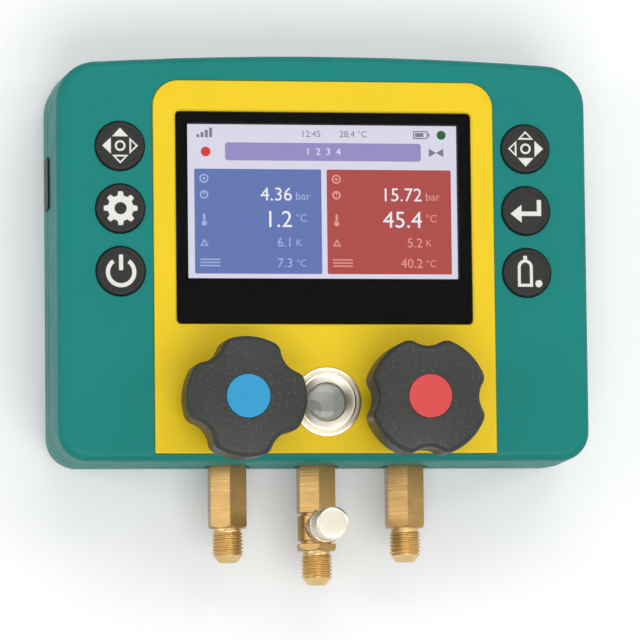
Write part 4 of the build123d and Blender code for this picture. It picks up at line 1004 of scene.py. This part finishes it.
# The bezel's flange and groove, as heights above its base and depths inside its radius
BEZEL_FLANGE = ((0.0, 0.0), (1.0, 0.0), (1.35, 0.15), (1.5, 0.5))
BEZEL_GROOVE = ((1.5, 1.0), (1.1, 1.25), (1.1, 1.55), (1.5, 1.8))

# The bezel's rounded rim, as depths below its top and inside its radius
BEZEL_RIM = ((0.4, 1.95), (0.12, 2.15), (0.0, 2.5), (0.12, 2.85))

# The end of the inner cone, as depths below the top and distances outside the bore
BEZEL_CONE_END = ((1.5, 0.15), (1.8, 0.0))


def sight_lens():
    """The glass: a disc with broken edges and a dome on its face."""
    low_z, high_z = heights("sight_glass_lens")
    thickness = high_z - low_z
    radius = round_radius("sight_glass_lens")
    rings = [(0, radius - LENS_CHAMFER), (LENS_CHAMFER, radius)]
    rings += [(thickness - LENS_CHAMFER, radius), (thickness, radius - LENS_CHAMFER)]
    for step in range(LENS_STEPS + 1):
        angle = math.pi / 2 * step / LENS_STEPS
        dome_radius = max(LENS_POLE, LENS_BORE * math.cos(angle))
        rings.append((thickness + LENS_DOME * math.sin(angle), dome_radius))
    mesh = lathe("sight_glass_domed", rings, upright("sight_glass_lens", low_z))
    piece = new_piece("sight_glass_domed", mesh, "sight_lens", "instrument")
    smooth_by_angle(mesh, degrees=40)
    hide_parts("sight_glass_lens")


def sight_bezel():
    """The ring round the glass: a flange, a groove and a raised rim with a broad inner cone."""
    foot_z, top_z = heights("sight_glass_ring")
    radius = round_radius("sight_glass_ring")
    base_z = top_z - BEZEL_HEIGHT
    glass_low, glass_high = heights("sight_glass_lens")
    seal_z = glass_low - SEAL_THICKNESS
    rings = [(base_z + above, radius - inside) for above, inside in BEZEL_FLANGE + BEZEL_GROOVE]
    rings += [(top_z - below, radius - inside) for below, inside in BEZEL_RIM]
    rings += [(top_z - below, BEZEL_BORE + outside) for below, outside in BEZEL_CONE_END]
    rings += [(glass_high, BEZEL_BORE), (glass_high, BEZEL_POCKET), (seal_z, BEZEL_POCKET)]
    rings += [(seal_z, BEZEL_WELL), (foot_z, BEZEL_WELL), (foot_z, BEZEL_BODY), (base_z, BEZEL_BODY)]
    mesh = lathe("sight_glass_bezel", rings, upright("sight_glass_ring"), tube=True)
    piece = new_piece("sight_glass_bezel", mesh, "nickel", "instrument")
    smooth_by_angle(mesh, degrees=30)
    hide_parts("sight_glass_ring")


sight_lens()
sight_bezel()


# Camera, at the photograph's viewing angle: above the face, from the left and the ports' side

TARGET = Vector((0.0, 0.0, 0.036))
CAMERA = Vector((-0.282, -0.162, 1.818))
VIEW_WIDTH = 0.224
ROLL = math.radians(0.65)
camera_data = bpy.data.cameras.new("camera")
camera = bpy.data.objects.new("camera", camera_data)
scene.collection.objects.link(camera)
forward = (TARGET - CAMERA).normalized()
across = forward.cross(Vector((0, 1, 0))).normalized()
upward = across.cross(forward)
turn = Matrix((across, upward, -forward)).transposed().to_4x4()
camera.matrix_world = Matrix.Translation(CAMERA) @ turn @ Matrix.Rotation(-ROLL, 4, "Z")
camera_data.sensor_width = 36.0
camera_data.lens = camera_data.sensor_width * (TARGET - CAMERA).length / VIEW_WIDTH
camera_data.clip_end = 20.0
scene.camera = camera


# Floor and studio light

FLOOR_SEEN = (0.93, 0.93, 0.93, 1)
FLOOR_AS_LIGHT = (0.5, 0.5, 0.5, 1)
FLOOR_SPECK = (0.6, 0.6, 0.6, 1)
FLOOR_LIFT = 0.12
FLOOR_HALF = 4.0
FLOOR_GAP = 0.0002
SURROUND_LIGHT = 0.38
SURROUND_SEEN = 0.9


def floor_material():
    """A floor that is pale where it is seen and keeps the shadow, but throws less light back."""
    graph = Graph("floor")
    path = graph.add("ShaderNodeLightPath").outputs
    seen = graph.math("MAXIMUM", path["Is Camera Ray"], path["Is Glossy Ray"])
    seen = graph.math("MAXIMUM", seen, path["Is Transmission Ray"])
    shade = graph.mix(seen, FLOOR_AS_LIGHT, FLOOR_SEEN)
    specks = graph.spread(graph.noise(400, detail=3), 0.0, 0.04)
    lift = graph.math("MULTIPLY", seen, FLOOR_LIFT)
    graph.drive(Base_Color=graph.mix(specks, shade, FLOOR_SPECK), Emission_Strength=lift)
    graph.set(Roughness=0.7, Specular_IOR_Level=0.2)
    return graph.material


corners = [(-FLOOR_HALF, -FLOOR_HALF, 0), (FLOOR_HALF, -FLOOR_HALF, 0)]
corners += [(FLOOR_HALF, FLOOR_HALF, 0), (-FLOOR_HALF, FLOOR_HALF, 0)]
floor_mesh = bpy.data.meshes.new("floor")
floor_mesh.from_pydata(corners, [], [(0, 1, 2, 3)])
floor_mesh.materials.append(floor_material())
floor = bpy.data.objects.new("floor", floor_mesh)
scene.collection.objects.link(floor)
floor.location.z = cad_box[0][2] - FLOOR_GAP


def lamp(name, place, size, watts):
    """A soft rectangular lamp that faces the object."""
    data = bpy.data.lights.new(name, "AREA")
    data.shape = "RECTANGLE"
    data.size, data.size_y = size
    data.energy = watts
    light = bpy.data.objects.new(name, data)
    scene.collection.objects.link(light)
    light.location = place
    light.rotation_euler = (TARGET - Vector(place)).to_track_quat("-Z", "Y").to_euler()


lamp("main_softbox", (0.05, -0.7, 1.35), (1.1, 0.8), 9.8)
lamp("left_strip", (-0.9, 0.1, 0.5), (0.25, 0.9), 1.8)
lamp("right_strip", (0.9, 0.25, 0.6), (0.25, 0.9), 1.5)
lamp("back_softbox", (0.1, 0.8, 1.2), (1.0, 0.6), 4.5)


def studio_world():
    """An even surround: dim as a light, and pale where it is seen, reflected or looked at through glass."""
    world = bpy.data.worlds.new("studio")
    world.use_nodes = True
    tree = world.node_tree
    tree.nodes.clear()
    path = tree.nodes.new("ShaderNodeLightPath").outputs
    seen = path["Is Camera Ray"]
    for kind in ("Is Glossy Ray", "Is Transmission Ray"):
        either = tree.nodes.new("ShaderNodeMath")
        either.operation = "MAXIMUM"
        tree.links.new(seen, either.inputs[0])
        tree.links.new(path[kind], either.inputs[1])
        seen = either.outputs[0]
    brightness = tree.nodes.new("ShaderNodeMapRange")
    brightness.inputs["To Min"].default_value = SURROUND_LIGHT
    brightness.inputs["To Max"].default_value = SURROUND_SEEN
    tree.links.new(seen, brightness.inputs["Value"])
    background = tree.nodes.new("ShaderNodeBackground")
    background.inputs["Color"].default_value = (0.98, 0.99, 1.0, 1)
    tree.links.new(brightness.outputs[0], background.inputs["Strength"])
    output = tree.nodes.new("ShaderNodeOutputWorld")
    tree.links.new(background.outputs[0], output.inputs["Surface"])
    return world


scene.world = studio_world()
scene.view_settings.view_transform = "Standard"
